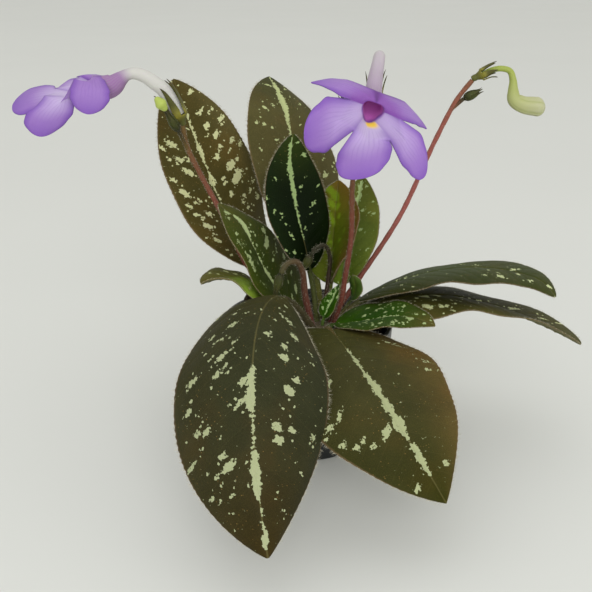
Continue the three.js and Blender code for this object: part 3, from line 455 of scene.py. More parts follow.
# Lengths are in mm and angles in degrees. slope: of the midrib at the crown, the blade's base, half
# way and the tip; heading: at the crown, the base and the tip. fold and arch: how far each half
# lifts and bends down again. outline: how soon the blade widens and narrows. asym: the right half's
# width; lobe: how far the foot's lobes reach back. tones: foot, middle, tip, right margin, left
# margin. pale: the markings' colour. speckle: how much of them is small. streak: the pale band over
# the midrib, as (place along, mm to the right, mm to the left). marks: pale blotches, as (place
# along, across, mm long, mm wide).
# Some leaves also have, in mm, flare: a wider right half near the foot; hang: how far the left and
# right margins hang down near the foot, and glow: the colour there, with light behind it; hook: a
# tip that turns down; sway: how far the midrib stands to the right of the middle, as a share of the
# half width; backlit: how softly the pale blotches shine through the leaf.
STALK_TONE = (0.085, 0.075, 0.03)
leaves = {
    "leaf_front_left": {
        "root": (3.6, -9.4, 52), "stalk": 32, "blade": 122, "width": 65,
        "slope": (65, 33, -44, -63), "heading": (-146, -112, -69), "roll": (9, -7),
        "fold": (-3, -21), "arch": (38, 33), "outline": (1.07, 0.82),
        "asym": 1.02,
        "tones": [
            (0.052, 0.046, 0.0085), (0.031, 0.032, 0.013), (0.037, 0.024, 0.0044),
            (0.04, 0.036, 0.013), (0.027, 0.029, 0.013),
        ],
        "pale": (0.35, 0.38, 0.215), "speckle": 0.5, "stalk_tone": (0.075, 0.06, 0.03),
        "streak": [
            (0.34, 0, 0), (0.46, 0, 0), (0.485, 0.9, 0.6), (0.51, 2, 0.8),
            (0.53, 1.5, 0.9), (0.56, 2.2, 0.9), (0.585, 2.4, 0.9), (0.61, 0.6, 0.6), (0.63, 0.3, 0.25),
            (0.7, 0.3, 0.25), (0.72, 0.9, 0.8), (0.745, 1.3, 1.1), (0.765, 2.3, 1.2), (0.79, 1.6, 1.4),
            (0.81, 2, 0.9), (0.835, 0.8, 0.7), (0.85, 0, 0.3), (0.9, 0, 0), (0.925, 0.4, 0.9),
            (0.955, 0.9, 1.2), (0.972, 0.4, 0.6), (0.98, 0, 0),
        ],
        "marks": [
            (0.32, 0.38, 4, 1.8), (0.35, 0.62, 2.3, 1.4), (0.37, 0.43, 2.3, 1.4),
            (0.38, 0.53, 2.3, 1.1), (0.39, 0.25, 2.3, 1.1), (0.44, 0.38, 6, 2.1),
            (0.47, 0.32, 2.3, 1.2), (0.49, 0.4, 4, 2.1), (0.49, 0.27, 2.3, 1.1), (0.5, 0.72, 6.9, 2.3),
            (0.59, 0.77, 3.9, 1.9), (0.65, 0.65, 3.9, 1.8), (0.65, 0.53, 3.3, 1.9),
            (0.72, 0.38, 3, 2.3), (0.75, 0.33, 5.5, 2.8), (0.74, 0.87, 4.6, 1.8),
            (0.83, 0.77, 2.3, 1.8), (0.83, 0.43, 2.3, 1.2), (0.36, -0.15, 2.8, 1.8),
            (0.26, -0.5, 3.7, 1.6), (0.33, -0.55, 3.7, 2.1), (0.39, -0.38, 3, 2.1),
            (0.43, -0.37, 3.9, 3), (0.5, -0.52, 3.5, 2.3), (0.54, -0.43, 5.1, 3.3),
            (0.65, -0.28, 4, 2.8), (0.66, -0.47, 3.3, 1.9), (0.69, -0.3, 4.6, 3.3),
            (0.68, -0.8, 3.2, 1.9), (0.52, 0.1, 3.5, 2.3), (0.58, 0.12, 5.1, 1.8),
        ],
    },
    "leaf_front_right": {
        "root": (7.6, -10.3, 51), "stalk": 14, "blade": 92, "width": 63,
        "slope": (78, 4, -24, -45), "heading": (-86, -74, -49), "roll": (9, -14),
        "fold": (9, 4), "arch": (21, 14), "outline": (0.72, 0.94),
        "lobe": 0.7, "asym": 1.02,
        "tones": [
            (0.048, 0.048, 0.0095), (0.047, 0.044, 0.013), (0.032, 0.031, 0.002),
            (0.034, 0.033, 0.0059), (0.12, 0.08, 0.023),
        ],
        "pale": (0.36, 0.39, 0.21), "speckle": 0.2,
        "streak": [
            (0.18, 0, 0), (0.2, 0.3, 0.3), (0.25, 0.5, 0.5), (0.29, 0.9, 0.9), (0.33, 0.9, 0.5),
            (0.37, 0.5, 0.5), (0.42, 1.4, 1.2), (0.46, 1.6, 1.8), (0.49, 1.8, 1.2), (0.515, 0.9, 1),
            (0.54, 1.8, 1.6), (0.575, 2, 1.8), (0.6, 1.1, 1.2), (0.62, 1.6, 1.6), (0.65, 3, 2.4),
            (0.68, 2.2, 1.4), (0.71, 1.2, 0.6), (0.728, 0, 0.2), (0.735, 0, 0), (0.742, 0.9, 0.9),
            (0.76, 1.5, 1.4), (0.78, 1, 1.4), (0.81, 1.8, 1.2), (0.84, 1.4, 1.2), (0.86, 0.8, 1),
            (0.885, 0, 0.3), (0.9, 0, 0),
        ],
        "marks": [
            (0.4, 0.52, 4, 1.8), (0.54, 0.63, 4.9, 1.9), (0.57, 0.82, 3.2, 2.3),
            (0.59, 0.92, 2.1, 1.1), (0.64, 0.85, 2.8, 1.6), (0.67, 0.73, 2.3, 1.9),
            (0.66, 0.6, 2.8, 1.2), (0.69, 0.53, 2.6, 1.6), (0.9, 0.65, 3.2, 1.9),
            (0.87, -0.63, 3, 1.8), (0.45, -0.82, 3, 1.2), (0.41, -0.88, 5.8, 0.9),
            (0.23, -0.75, 4.6, 0.9), (0.27, -0.8, 4, 0.8), (0.66, 0.23, 6.7, 2.6),
        ],
    },
    "leaf_right_lower": {
        "root": (14.3, -3.5, 50), "stalk": 13, "blade": 104, "width": 51,
        "slope": (63, 19, -12, -19), "heading": (1, 28, -37), "roll": (3, 19),
        "fold": (-1, 15), "arch": (29, 4), "outline": (0.51, 0.69),
        "asym": 1,
        "tones": [
            (0.1, 0.1, 0.025), (0.04, 0.04, 0.008), (0.075, 0.07, 0.022),
            (0.09, 0.08, 0.02), (0.06, 0.064, 0.02),
        ],
        "pale": (0.56, 0.6, 0.31), "speckle": 0.45,
        "streak": [
            (0.5, 0, 0), (0.55, 0.3, 0.3), (0.6, 0, 0), (0.68, 0.2, 0.4), (0.74, 0.4, 0.5), (0.78, 0, 0),
        ],
        "marks": [
            (0.29, 0.1, 5, 4), (0.33, 0.03, 3, 2.4), (0.35, 0.1, 3.4, 2.4), (0.25, 0.18, 2, 1.6),
            (0.27, 0.63, 5.5, 3.2), (0.33, 0.65, 3.8, 2), (0.36, 0.67, 2.2, 1.8), (0.32, 0.38, 2.2, 1.6),
            (0.45, 0.08, 4.2, 2.2), (0.5, -0.02, 2.2, 1.7), (0.4, 0.6, 1.6, 1.4), (0.54, -0.03, 3.4, 1.6),
            (0.37, 0.88, 2.4, 1.3), (0.59, -0.18, 1.7, 1.3), (0.68, -0.18, 2, 1.3), (0.7, -0.23, 7, 1.6),
            (0.81, -0.35, 4.2, 1.3), (0.88, -0.87, 3.5, 1.2),
        ],
    },
    "leaf_right_upper": {
        "root": (13.6, 0.2, 52), "stalk": 15, "blade": 92, "width": 49,
        "slope": (68, 22, 8, -17), "heading": (29, 27, -32), "roll": (22, 0),
        "fold": (4, 5), "arch": (25, 14), "outline": (0.64, 0.66),
        "asym": 0.98, "hook": 4.5,
        "tones": [
            (0.03, 0.04, 0.006), (0.045, 0.06, 0.016), (0.048, 0.054, 0.012),
            (0.031, 0.034, 0.006), (0.05, 0.062, 0.022),
        ],
        "pale": (0.5, 0.55, 0.29), "speckle": 0.3,
        "streak": [
            (0.1, 0, 0), (0.14, 0.15, 0.15), (0.32, 0.2, 0.2), (0.36, 0, 0),
        ],
        "marks": [
            (0.73, 0.6, 4.2, 3.2), (0.79, -0.17, 4.2, 1.3), (0.81, 0.22, 1.8, 1.4), (0.65, 0.62, 1.8, 1.3),
            (0.88, 0.5, 1.6, 3), (0.96, -0.15, 1.6, 1.4), (0.55, -0.28, 2.2, 1.1), (0.61, -0.15, 2.2, 1),
            (0.27, -0.1, 3.5, 0.8), (0.22, -0.07, 3, 0.8),
        ],
    },
    "leaf_right_small": {
        "root": (9.8, -7.2, 55.4), "stalk": 3, "blade": 45, "width": 27,
        "slope": (46, 12, 21, -17), "heading": (-21, -14, -34), "roll": (0, -11),
        "fold": (20, 4), "arch": (10, 16), "outline": (0.46, 0.8),
        "asym": 1,
        "tones": [
            (0.031, 0.086, 0.0025), (0.02, 0.062, 0.0022), (0.098, 0.075, 0.018),
            (0.031, 0.056, 0.0058), (0.037, 0.066, 0.007),
        ],
        "pale": (0.34, 0.425, 0.19), "speckle": 0.75, "stalk_tone": (0.06, 0.1, 0.02),
        "streak": [
            (0.12, 0, 0), (0.16, 0.2, 0.15), (0.3, 0.35, 0.25), (0.45, 0.4, 0.3), (0.6, 0.35, 0.25),
            (0.66, 0, 0),
        ],
        "marks": [
            (0.76, 0.2, 4, 2.6), (0.7, 0.07, 1.8, 1.4), (0.52, 0.65, 2.2, 1.2), (0.65, 0.77, 3, 1.4),
            (0.49, 0.83, 1.4, 0.9), (0.91, 0.45, 1.4, 1.2), (0.62, -0.33, 1.8, 1.2), (0.65, -0.67, 1.6, 1),
            (0.51, -0.72, 1.4, 0.9), (0.48, -0.62, 1.4, 1), (0.42, -0.53, 1.2, 0.8), (0.38, -0.47, 1.2, 0.8),
            (0.49, -0.25, 1.4, 0.8), (0.55, -0.45, 1.6, 1.1), (0.31, 0.05, 1.2, 0.8),
            (0.33, -0.28, 1.2, 0.8),
        ],
    },
    "leaf_back_left": {
        "root": (1.7, 2.1, 52.5), "stalk": 31, "blade": 104, "width": 51,
        "slope": (53, 34, 58, 43), "heading": (147, 147, 116), "roll": (-9, 6),
        "fold": (4, 16), "arch": (22, 2), "outline": (0.61, 0.83),
        "asym": 1.03,
        "tones": [
            (0.08, 0.058, 0.012), (0.062, 0.051, 0.012), (0.075, 0.057, 0.013),
            (0.12, 0.1, 0.036), (0.067, 0.053, 0.012),
        ],
        "pale": (0.52, 0.53, 0.28), "speckle": 0.55,
        "streak": [
            (0.3, 0, 0), (0.38, 0.3, 0.3), (0.42, 0.4, 0.4), (0.45, 0.5, 1.2), (0.475, 1.8, 2.2),
            (0.5, 0.8, 0.8), (0.53, 0.3, 0.3), (0.57, 0.4, 0.4), (0.6, 0.9, 1.4), (0.63, 1.3, 1.8),
            (0.67, 0.5, 0.9), (0.71, 0.8, 0.6), (0.75, 0.3, 0.5), (0.78, 0.6, 0.6), (0.82, 0.9, 0.8),
            (0.86, 0.2, 0.2), (0.9, 0, 0),
        ],
        "marks": [
            (0.91, 0.58, 3.8, 2.1), (0.8, 0.37, 3, 1.8), (0.75, 0.8, 4.3, 2.1), (0.73, 0.37, 4.3, 2.7),
            (0.75, -0.5, 5.3, 2), (0.68, 0.48, 5, 2.7), (0.64, 0.75, 3.3, 2.3), (0.62, 0.88, 3, 1.8),
            (0.62, 0.42, 2.9, 1.5), (0.58, 0.28, 4.4, 2.3), (0.66, -0.68, 6.1, 2.6),
            (0.65, -0.92, 3.2, 1.8), (0.6, -0.82, 2.7, 1.2), (0.59, -0.58, 4.6, 1.8),
            (0.58, -0.4, 3.5, 1.5), (0.53, 0.48, 6.1, 3.8), (0.55, 0.65, 2.7, 1.8),
            (0.53, -0.47, 6.8, 2.7), (0.51, -0.88, 3.5, 1.7), (0.47, 0.53, 8.4, 3.8),
            (0.48, 0.25, 2.7, 1.5), (0.43, 0.82, 2.6, 1.4), (0.4, 0.73, 3, 1.7), (0.44, -0.75, 5.6, 3),
            (0.4, 0.28, 3.8, 2.3), (0.36, 0.87, 3.3, 1.8), (0.38, 0.55, 2.7, 1.7),
            (0.35, 0.47, 3, 1.7), (0.4, -0.52, 2.9, 1.8), (0.39, -0.62, 2.6, 1.5),
            (0.38, -0.8, 3.8, 1.8), (0.32, 0.53, 2.7, 1.5), (0.33, -0.47, 4.6, 2),
            (0.32, -0.67, 2.7, 1.5), (0.28, -0.68, 5.5, 2.4), (0.21, -0.73, 5.3, 1.7),
        ],
    },
    "leaf_back_centre": {
        "root": (6.7, 4.3, 50), "stalk": 33, "blade": 98, "width": 47,
        "slope": (62, 43, 67, 23), "heading": (97, 105, 114), "roll": (-19, -12),
        "fold": (16, -1), "arch": (8, 21), "outline": (0.63, 0.67),
        "asym": 0.98,
        "tones": [
            (0.1, 0.12, 0.03), (0.085, 0.072, 0.024), (0.048, 0.051, 0.018),
            (0.08, 0.072, 0.03), (0.08, 0.07, 0.022),
        ],
        "pale": (0.42, 0.46, 0.22), "speckle": 0.35, "stalk_tone": (0.1, 0.12, 0.03),
        "streak": [
            (0.5, 0, 0), (0.6, 0.25, 0.25), (0.62, 0.4, 0.4), (0.66, 0.6, 0.6), (0.7, 0.9, 0.9),
            (0.74, 1.6, 1.2), (0.78, 2.6, 1.4), (0.82, 2.2, 1.8), (0.86, 1.3, 1.2), (0.9, 1.3, 1),
            (0.94, 0.7, 0.6), (0.97, 0.3, 0.3), (1, 0, 0),
        ],
        "marks": [
            (0.92, -0.38, 2.3, 1.4), (0.76, -0.57, 3.1, 1.7), (0.78, -0.32, 2.3, 1.1),
            (0.68, -0.8, 1.7, 1.4), (0.67, -0.62, 2.5, 1.6), (0.65, -0.43, 1.6, 1.1),
            (0.59, -0.38, 2.7, 1.2), (0.81, 0.63, 2, 1.2), (0.5, 0.68, 2.3, 1.2), (0.42, 0.67, 3.9, 2),
            (0.47, 0.92, 3.1, 1.1), (0.44, 0.9, 1.9, 1.1),
        ],
    },
    "leaf_back_right": {
        "root": (12.1, 2.3, 50), "stalk": 20, "blade": 52, "width": 30,
        "slope": (76, 60, 48, 66), "heading": (58, 74, 62), "roll": (14, 7),
        "fold": (21, 16), "arch": (2, 1), "outline": (0.56, 0.78),
        "asym": 1.15,
        "tones": [
            (0.11, 0.18, 0.01), (0.13, 0.18, 0.031), (0.1, 0.12, 0.025),
            (0.13, 0.16, 0.026), (0.08, 0.11, 0.026),
        ],
        "pale": (0.4, 0.52, 0.22), "speckle": 0.25, "stalk_tone": (0.1, 0.13, 0.03),
        "streak": [
            (0.65, 0, 0), (0.7, 0.2, 0.3), (0.76, 0.7, 1.2), (0.82, 1.4, 0.8), (0.88, 1.4, 1.2),
            (0.93, 1, 1.2), (0.96, 0.3, 0.3), (0.97, 0, 0),
        ],
        "marks": [
            (0.91, 0.58, 1.7, 1.2), (0.76, 0.8, 1.4, 1.1), (0.68, 0.35, 2.2, 1.6),
            (0.66, 0.62, 1.4, 1.2), (0.63, 0.77, 2.8, 1.7), (0.5, 0.37, 2.7, 1.6),
            (0.3, 0.82, 1.4, 1.1), (0.21, 0.93, 1.4, 1.1),
        ],
    },
    "leaf_back_reddish": {
        "root": (9.5, 3.9, 54), "stalk": 16, "blade": 46, "width": 36,
        "slope": (74, 66, 74, 75), "heading": (79, 82, 67), "roll": (40, 8),
        "fold": (32, 16), "arch": (-15, -4), "outline": (0.6, 0.78),
        "asym": 1.25, "backlit": 0.75,
        "tones": [
            (0.1, 0.12, 0.008), (0.075, 0.105, 0.005), (0.14, 0.1, 0.016),
            (0.12, 0.042, 0.01), (0.075, 0.11, 0.005),
        ],
        "pale": (0.15, 0.29, 0.01), "speckle": 0.2,
        "streak": [],
        "marks": [
            (0.9, -0.63, 6, 3.6), (0.85, -0.07, 7, 4.4), (0.77, -0.25, 6, 3.6), (0.75, 0.08, 5, 3.4),
            (0.67, -0.25, 5, 3), (0.6, -0.03, 5, 2.8), (0.66, 0.18, 3, 2), (0.46, -0.18, 3.4, 1.7),
            (0.4, -0.07, 3.4, 1.7), (0.33, 0.08, 3.4, 1.7), (0.43, 0.3, 3, 1.7), (0.55, -0.25, 3, 2),
            (0.53, 0.45, 2, 1.4),
        ],
    },
    "leaf_centre_dark": {
        "root": (4.3, 3.8, 54), "stalk": 23, "blade": 63, "width": 28,
        "slope": (79, 77, 62, 43), "heading": (112, 148, 75), "roll": (8, 6),
        "fold": (11, 5), "arch": (14, 13), "outline": (0.49, 0.76),
        "asym": 1.03,
        "tones": [
            (0.0025, 0.006, 0.0006), (0.0028, 0.0075, 0.0007), (0.03, 0.048, 0.005),
            (0.005, 0.012, 0.0012), (0.005, 0.014, 0.0012),
        ],
        "pale": (0.285, 0.385, 0.155), "speckle": 0.22, "stalk_tone": (0.09, 0.1, 0.03),
        "streak": [
            (0.2, 0, 0), (0.25, 0.12, 0.12), (0.32, 0.22, 0.22), (0.38, 0.45, 0.45), (0.42, 0.35, 0.35),
            (0.5, 0.6, 0.75), (0.55, 1.2, 1.2), (0.6, 0.6, 0.68), (0.66, 0.75, 1.05), (0.72, 0.6, 1.65),
            (0.77, 0.3, 1.8), (0.79, 0.15, 0.75), (0.82, 0.22, 0.75), (0.9, 0.22, 1.05), (0.94, 0, 0.75),
            (0.97, 0, 0),
        ],
        "marks": [
            (0.44, -0.75, 1.3, 1.1), (0.42, -0.53, 1.8, 1.3), (0.38, -0.6, 1.1, 1), (0.34, -0.52, 1.3, 1.1),
            (0.27, -0.48, 1.3, 1), (0.25, -0.45, 1.6, 1.1), (0.58, 0.27, 1.5, 1.1), (0.53, -0.97, 1.3, 1.1),
            (0.15, -0.67, 1.5, 1.1), (0.18, -0.95, 2, 1), (0.27, -1, 1.5, 1.1), (0.82, 0.72, 2.2, 1.9),
            (0.65, 0.48, 1.2, 1), (0.45, 0.53, 3.4, 1.3), (0.58, 0.85, 1.4, 1.2), (0.65, -0.65, 1.1, 0.9),
            (0.93, 0.77, 1.7, 1), (0.38, 0.38, 1.4, 1), (0.29, 0.17, 1.3, 1),
        ],
    },
    "leaf_mid_left": {
        "root": (-0.3, -2.5, 54), "stalk": 3, "blade": 63, "width": 40,
        "slope": (49, 50, 66, 36), "heading": (176, 177, 162), "roll": (8, 3),
        "fold": (15, 3), "arch": (9, 12), "outline": (0.58, 0.82),
        "asym": 1, "flare": 6,
        "sway": [
            (0, 0), (0.3, -0.08), (0.45, -0.16), (0.58, -0.12), (0.68, -0.05), (0.77, 0.1), (0.85, 0.14),
            (1, 0),
        ],
        "tones": [
            (0.031, 0.046, 0.0067), (0.029, 0.043, 0.0052), (0.069, 0.07, 0.013),
            (0.037, 0.049, 0.0043), (0.045, 0.064, 0.0056),
        ],
        "pale": (0.335, 0.4, 0.185), "speckle": 0.35,
        "streak": [
            (0.2, 0, 0), (0.3, 0.3, 0.3), (0.345, 1.2, 1), (0.39, 1.7, 1.3), (0.43, 1.5, 1),
            (0.47, 0.9, 0.6), (0.52, 0.4, 0.4), (0.6, 0.35, 0.35), (0.66, 0.5, 0.5), (0.69, 1.2, 1),
            (0.73, 1.8, 1.4), (0.78, 2, 1.5), (0.83, 1.6, 1.2), (0.86, 0.8, 0.6), (0.88, 0, 0),
        ],
        "marks": [
            (0.61, -0.62, 4.5, 2), (0.57, -0.68, 5, 2.6), (0.52, -0.68, 3.6, 1.6), (0.54, -0.35, 2, 1),
            (0.77, -0.62, 3, 1.3), (0.72, -0.7, 2.6, 1.3), (0.69, -0.5, 1.9, 1.1), (0.68, -0.72, 1.3, 1),
            (0.75, 0.38, 1.3, 1.1), (0.68, 0.3, 1.1, 1), (0.66, 0.77, 2.6, 2.4), (0.59, 0.58, 6, 3.2),
            (0.62, 0.12, 1.6, 1.2), (0.54, 0.17, 1.7, 1.2), (0.49, 0.6, 1.7, 1.2), (0.48, 0.75, 2.2, 1.5),
            (0.46, 0.45, 2.2, 1.5), (0.41, 0.93, 3.2, 1.6), (0.51, 0.85, 1.4, 1), (0.56, 1, 1.7, 1.2),
            (0.38, 0.62, 2.2, 1.3), (0.45, 0.13, 1.2, 1), (0.43, -0.6, 2, 0.9), (0.39, -0.55, 2, 0.9),
            (0.28, 0.82, 3, 1.4), (0.18, 0.73, 5, 1.8), (0.18, 0.37, 1.8, 1), (0.26, 0.53, 1.4, 1),
            (0.91, -0.22, 3, 2), (0.88, -0.58, 2.2, 1.3),
        ],
    },
    "leaf_left_small": {
        "root": (0.3, -6, 50), "stalk": 28, "blade": 31, "width": 27,
        "slope": (49, 51, 15, -17), "heading": (201, 183, 209), "roll": (3, -14),
        "fold": (5, 17), "arch": (23, 2), "outline": (0.59, 0.7),
        "asym": 1.01, "hang": (5.5, 1.5), "glow": (0.22, 0.33, 0.03),
        "tones": [
            (0.12, 0.14, 0.025), (0.1, 0.1, 0.02), (0.1, 0.085, 0.018),
            (0.08, 0.08, 0.022), (0.12, 0.12, 0.025),
        ],
        "pale": (0.42, 0.45, 0.2), "speckle": 0.5, "stalk_tone": (0.14, 0.2, 0.05),
        "streak": [],
        "marks": [
            (0.35, 0.5, 2.2, 1), (0.5, 0.35, 1.8, 1), (0.6, 0.6, 2.4, 1), (0.72, 0.3, 1.8, 1),
            (0.8, 0.55, 1.8, 1), (0.45, 0.75, 1.6, 0.9),
        ],
    },
    "leaf_tiny": {
        "root": (12.8, -0.8, 53.8), "stalk": 14, "blade": 12, "width": 10,
        "slope": (71, 53, 93, 115), "heading": (3, -17, 21), "roll": (-21, -32),
        "fold": (14, -2), "arch": (10, 17), "outline": (0.59, 0.77),
        "asym": 1.01,
        "tones": [
            (0.02, 0.06, 0.012), (0.053, 0.099, 0.011), (0.11, 0.16, 0.033),
            (0.043, 0.075, 0.017), (0.02, 0.055, 0.012),
        ],
        "pale": (0.34, 0.42, 0.18), "speckle": 0.5,
        "streak": [],
        "marks": [],
    },
    "leaf_young": {
        "root": (6.6, -4.6, 55.6), "stalk": 3, "blade": 16, "width": 9.8,
        "slope": (80, 62, 59, 55), "heading": (58, 26, 44), "roll": (-10, 10),
        "fold": (21, 12), "arch": (9, 3), "outline": (0.41, 0.89),
        "asym": 1.01,
        "tones": [
            (0.025, 0.091, 0.002), (0.021, 0.076, 0.002), (0.03, 0.085, 0.014),
            (0.029, 0.08, 0.002), (0.038, 0.082, 0.0054),
        ],
        "pale": (0.36, 0.5, 0.2), "speckle": 0.8, "stalk_tone": (0.08, 0.14, 0.03),
        "streak": [
            (0.05, 0, 0), (0.1, 0.3, 0.3), (0.3, 0.6, 0.6), (0.5, 0.8, 0.8), (0.7, 0.5, 0.5),
            (0.85, 0, 0),
        ],
        "marks": [
            (0.58, 0.13, 3.3, 1.4), (0.64, -0.82, 1.8, 1.1), (0.68, 1, 1.8, 1.1),
            (0.44, -0.48, 2.3, 1.1), (0.24, -0.58, 1.8, 0.9),
        ],
    },
}


def ways(slope, heading):
    """Unit vectors at slopes and headings in radians."""
    return np.stack([np.cos(slope) * np.cos(heading), np.cos(slope) * np.sin(heading), np.sin(slope)], 1)


def leaf_line(leaf):
    """Fine points down the middle of the leaf stalk and blade, with slope and heading."""
    stalk, blade = leaf["stalk"], leaf["blade"]
    along = np.concatenate([np.linspace(0, stalk, 61)[:-1], np.linspace(stalk, stalk + blade, 241)])
    slope = np.radians(np.interp(along, [0, stalk, stalk + blade / 2, stalk + blade], leaf["slope"]))
    heading = np.radians(np.interp(along, [0, stalk, stalk + blade], leaf["heading"]))
    ahead = ways(slope, heading)
    steps = (ahead[1:] + ahead[:-1]) / 2 * np.diff(along)[:, None]
    points = np.vstack([[leaf["root"]], leaf["root"] + np.cumsum(steps, 0)])
    return along, points, slope, heading


def leaf_frames(leaf, places):
    """Point, forward, side and normal of the leaf at distances from the crown."""
    along, line, slopes, headings = leaf_line(leaf)
    points = np.stack([np.interp(places, along, line[:, i]) for i in range(3)], 1)
    slope, heading = np.interp(places, along, slopes), np.interp(places, along, headings)
    forward = ways(slope, heading)
    flat = np.stack([np.sin(heading), -np.cos(heading), 0 * heading], 1)
    up = np.cross(flat, forward)
    share = np.clip((places - leaf["stalk"]) / leaf["blade"], 0, 1)
    roll = np.radians(leaf["roll"][0] + (leaf["roll"][1] - leaf["roll"][0]) * share)[:, None]
    side, normal = flat * np.cos(roll) + up * np.sin(roll), up * np.cos(roll) - flat * np.sin(roll)
    return points, forward, side, normal


def half_width(leaf, t):
    """Half the blade's width at t along, in mm, were both halves alike."""
    p, q = leaf["outline"]
    widest = p / (p + q)
    return leaf["width"] / 2 * t**p * (1 - t) ** q / (widest**p * (1 - widest) ** q)


def band(x, half):
    """1 at x = 0, falling smoothly to nothing at about twice half."""
    return np.exp(-((x / half) ** 2))


def blade_sheet(leaf, t, a):
    """Points of the blade at t along and a across, from -1 to 1, and how many mm across they are."""
    t, a = t[:, None], a[None, :]
    point, forward, side, normal = leaf_frames(leaf, leaf["stalk"] + leaf["blade"] * t[:, 0])
    reach = np.abs(a)
    fold = np.radians(leaf["fold"][0] + (leaf["fold"][1] - leaf["fold"][0]) * t)
    arch = np.radians(leaf["arch"][0] + (leaf["arch"][1] - leaf["arch"][0]) * t) + 1e-6
    width = half_width(leaf, t) * np.where(a > 0, leaf["asym"], 2 - leaf["asym"])
    width = width * (1 + 0.006 * np.sin(2 * np.pi * leaf["blade"] * t / 2.3 + a) * reach**8)
    keys = np.array(leaf.get("sway", [(0, 0), (1, 0)]), float)
    aside = a + np.interp(t, keys[:, 0], keys[:, 1]) * (1 - reach**2)
    width = width + leaf.get("flare", 0) * np.clip(a, 0, 1) ** 3 * np.exp(-(((t - 0.3) / 0.22) ** 2))
    out = (np.sin(fold) - np.sin(fold - arch * np.abs(aside))) / arch
    lift = (np.cos(fold - arch * reach) - np.cos(fold)) / arch
    wave = 0.018 * leaf["width"] * reach**2 * np.sin(np.pi * t) * np.sin(17 * t + 3 * a + leaf["blade"])
    grid = point[:, None] + (np.sign(aside) * out * width)[..., None] * side[:, None]
    grid += (lift * width + wave)[..., None] * normal[:, None]
    grid += (-leaf.get("lobe", 0) * width * reach * (1 - t) ** 5)[..., None] * forward[:, None]
    near, far = leaf.get("hang", (0, 0))
    hang = near * np.clip(-a, 0, 1) ** 1.2 + far * np.clip(a, 0, 1) ** 1.2
    hang = hang * np.clip((0.8 - t) / 0.6, 0, 1) * np.clip(t / 0.04, 0, 1)
    grid[..., 2] -= hang + leaf.get("hook", 0) * np.clip((t - 0.88) / 0.12, 0, 1) ** 2
    return grid, a * width


def grid_normals(grid):
    along, across = np.gradient(grid, axis=0), np.gradient(grid, axis=1)
    normal = np.cross(across, along)
    return normal / np.maximum(np.linalg.norm(normal, axis=2, keepdims=True), 1e-9)


def capped_faces(rings, around):
    """Faces between rings of points, and a flat cap at each end."""
    last = (rings - 1) * around
    return ring_faces(rings, around) + [tuple(range(around))[::-1], tuple(range(last, last + around))]


def tube(points, radii, around):
    """Points and faces of a round bar along a line, with closed ends."""
    points = np.asarray(points, float)
    ahead = np.gradient(points, axis=0)
    ahead /= np.linalg.norm(ahead, axis=1, keepdims=True)
    across = np.cross((0, 0, 1), ahead[0])
    if np.linalg.norm(across) < 0.2:
        across = np.cross((0, 1, 0), ahead[0])
    turns = np.linspace(0, 2 * np.pi, around, endpoint=False)[:, None]
    rings = []
    for point, way, radius in zip(points, ahead, radii):
        across = across - way * across.dot(way)
        across /= np.linalg.norm(across)
        other = np.cross(way, across)
        rings.append(point + radius * (np.cos(turns) * across + np.sin(turns) * other))
    return np.vstack(rings), capped_faces(len(points), around)


MARK_LEAN = 38


def mark_field(leaf, t, across, along):
    """Over 0.5 where the leaf is pale: the streak along the midrib and the larger blotches."""
    keys = np.array(leaf["streak"] or [(0, 0, 0), (1, 0, 0)], float)
    right, left = [np.interp(t, keys[:, 0], keys[:, i])[:, None] for i in (1, 2)]
    streak = np.where(across > 0, right, left)
    field = 0.5 + np.minimum(streak - np.abs(across), 0.9) / 1.8
    field = np.where(streak < 0.05, 0, field)
    for place, over, length, width in leaf["marks"]:
        share = leaf["asym"] if over > 0 else 2 - leaf["asym"]
        middle = over * half_width(leaf, np.array([place]))[0] * share
        x, y = across - middle, along - place * leaf["blade"]
        lean = math.radians(MARK_LEAN) * (1 if over > 0 else -1)
        u, v = x * math.cos(lean) + y * math.sin(lean), y * math.cos(lean) - x * math.sin(lean)
        blotch = 1 - np.hypot(2 * u / length, 2 * v / width)
        field = np.maximum(field, 0.5 + blotch * min(length, width) / 3.2)
    return np.clip(field, 0, 1)


def leaf_tones(leaf, t, a):
    """Colour of the sheet: its foot, middle and tip, blended with the tone of each half's margin."""
    foot, middle, tip, right, left = [np.array(c) for c in leaf["tones"]]
    t, a = t[:, None, None], a[None, :, None]
    tone = foot + (middle - foot) * np.clip(t / 0.35, 0, 1)
    tone = tone + (tip - middle) * np.clip((t - 0.55) / 0.45, 0, 1) ** 1.5
    share = np.clip(np.abs(a) - 0.25, 0, 1) ** 1.3 * 1.15 * (1 - 0.6 * np.clip((t - 0.72) / 0.2, 0, 1))
    tone = tone + (np.where(a > 0, right, left) - tone) * np.clip(share, 0, 1)
    if "glow" in leaf:
        lit = np.clip(3 * (0.6 - a - 0.9 * t), 0, 1) * np.clip((0.7 - t) / 0.25, 0, 1)
        tone = tone + (np.array(leaf["glow"]) - tone) * lit
    return np.concatenate([tone, np.ones(tone.shape[:2] + (1,))], 2)


ROW_LENGTH = 0.75
COLUMN_WIDTH = 1.5
VEIN_LEAN = 0.62
STALK_SIDES = 14


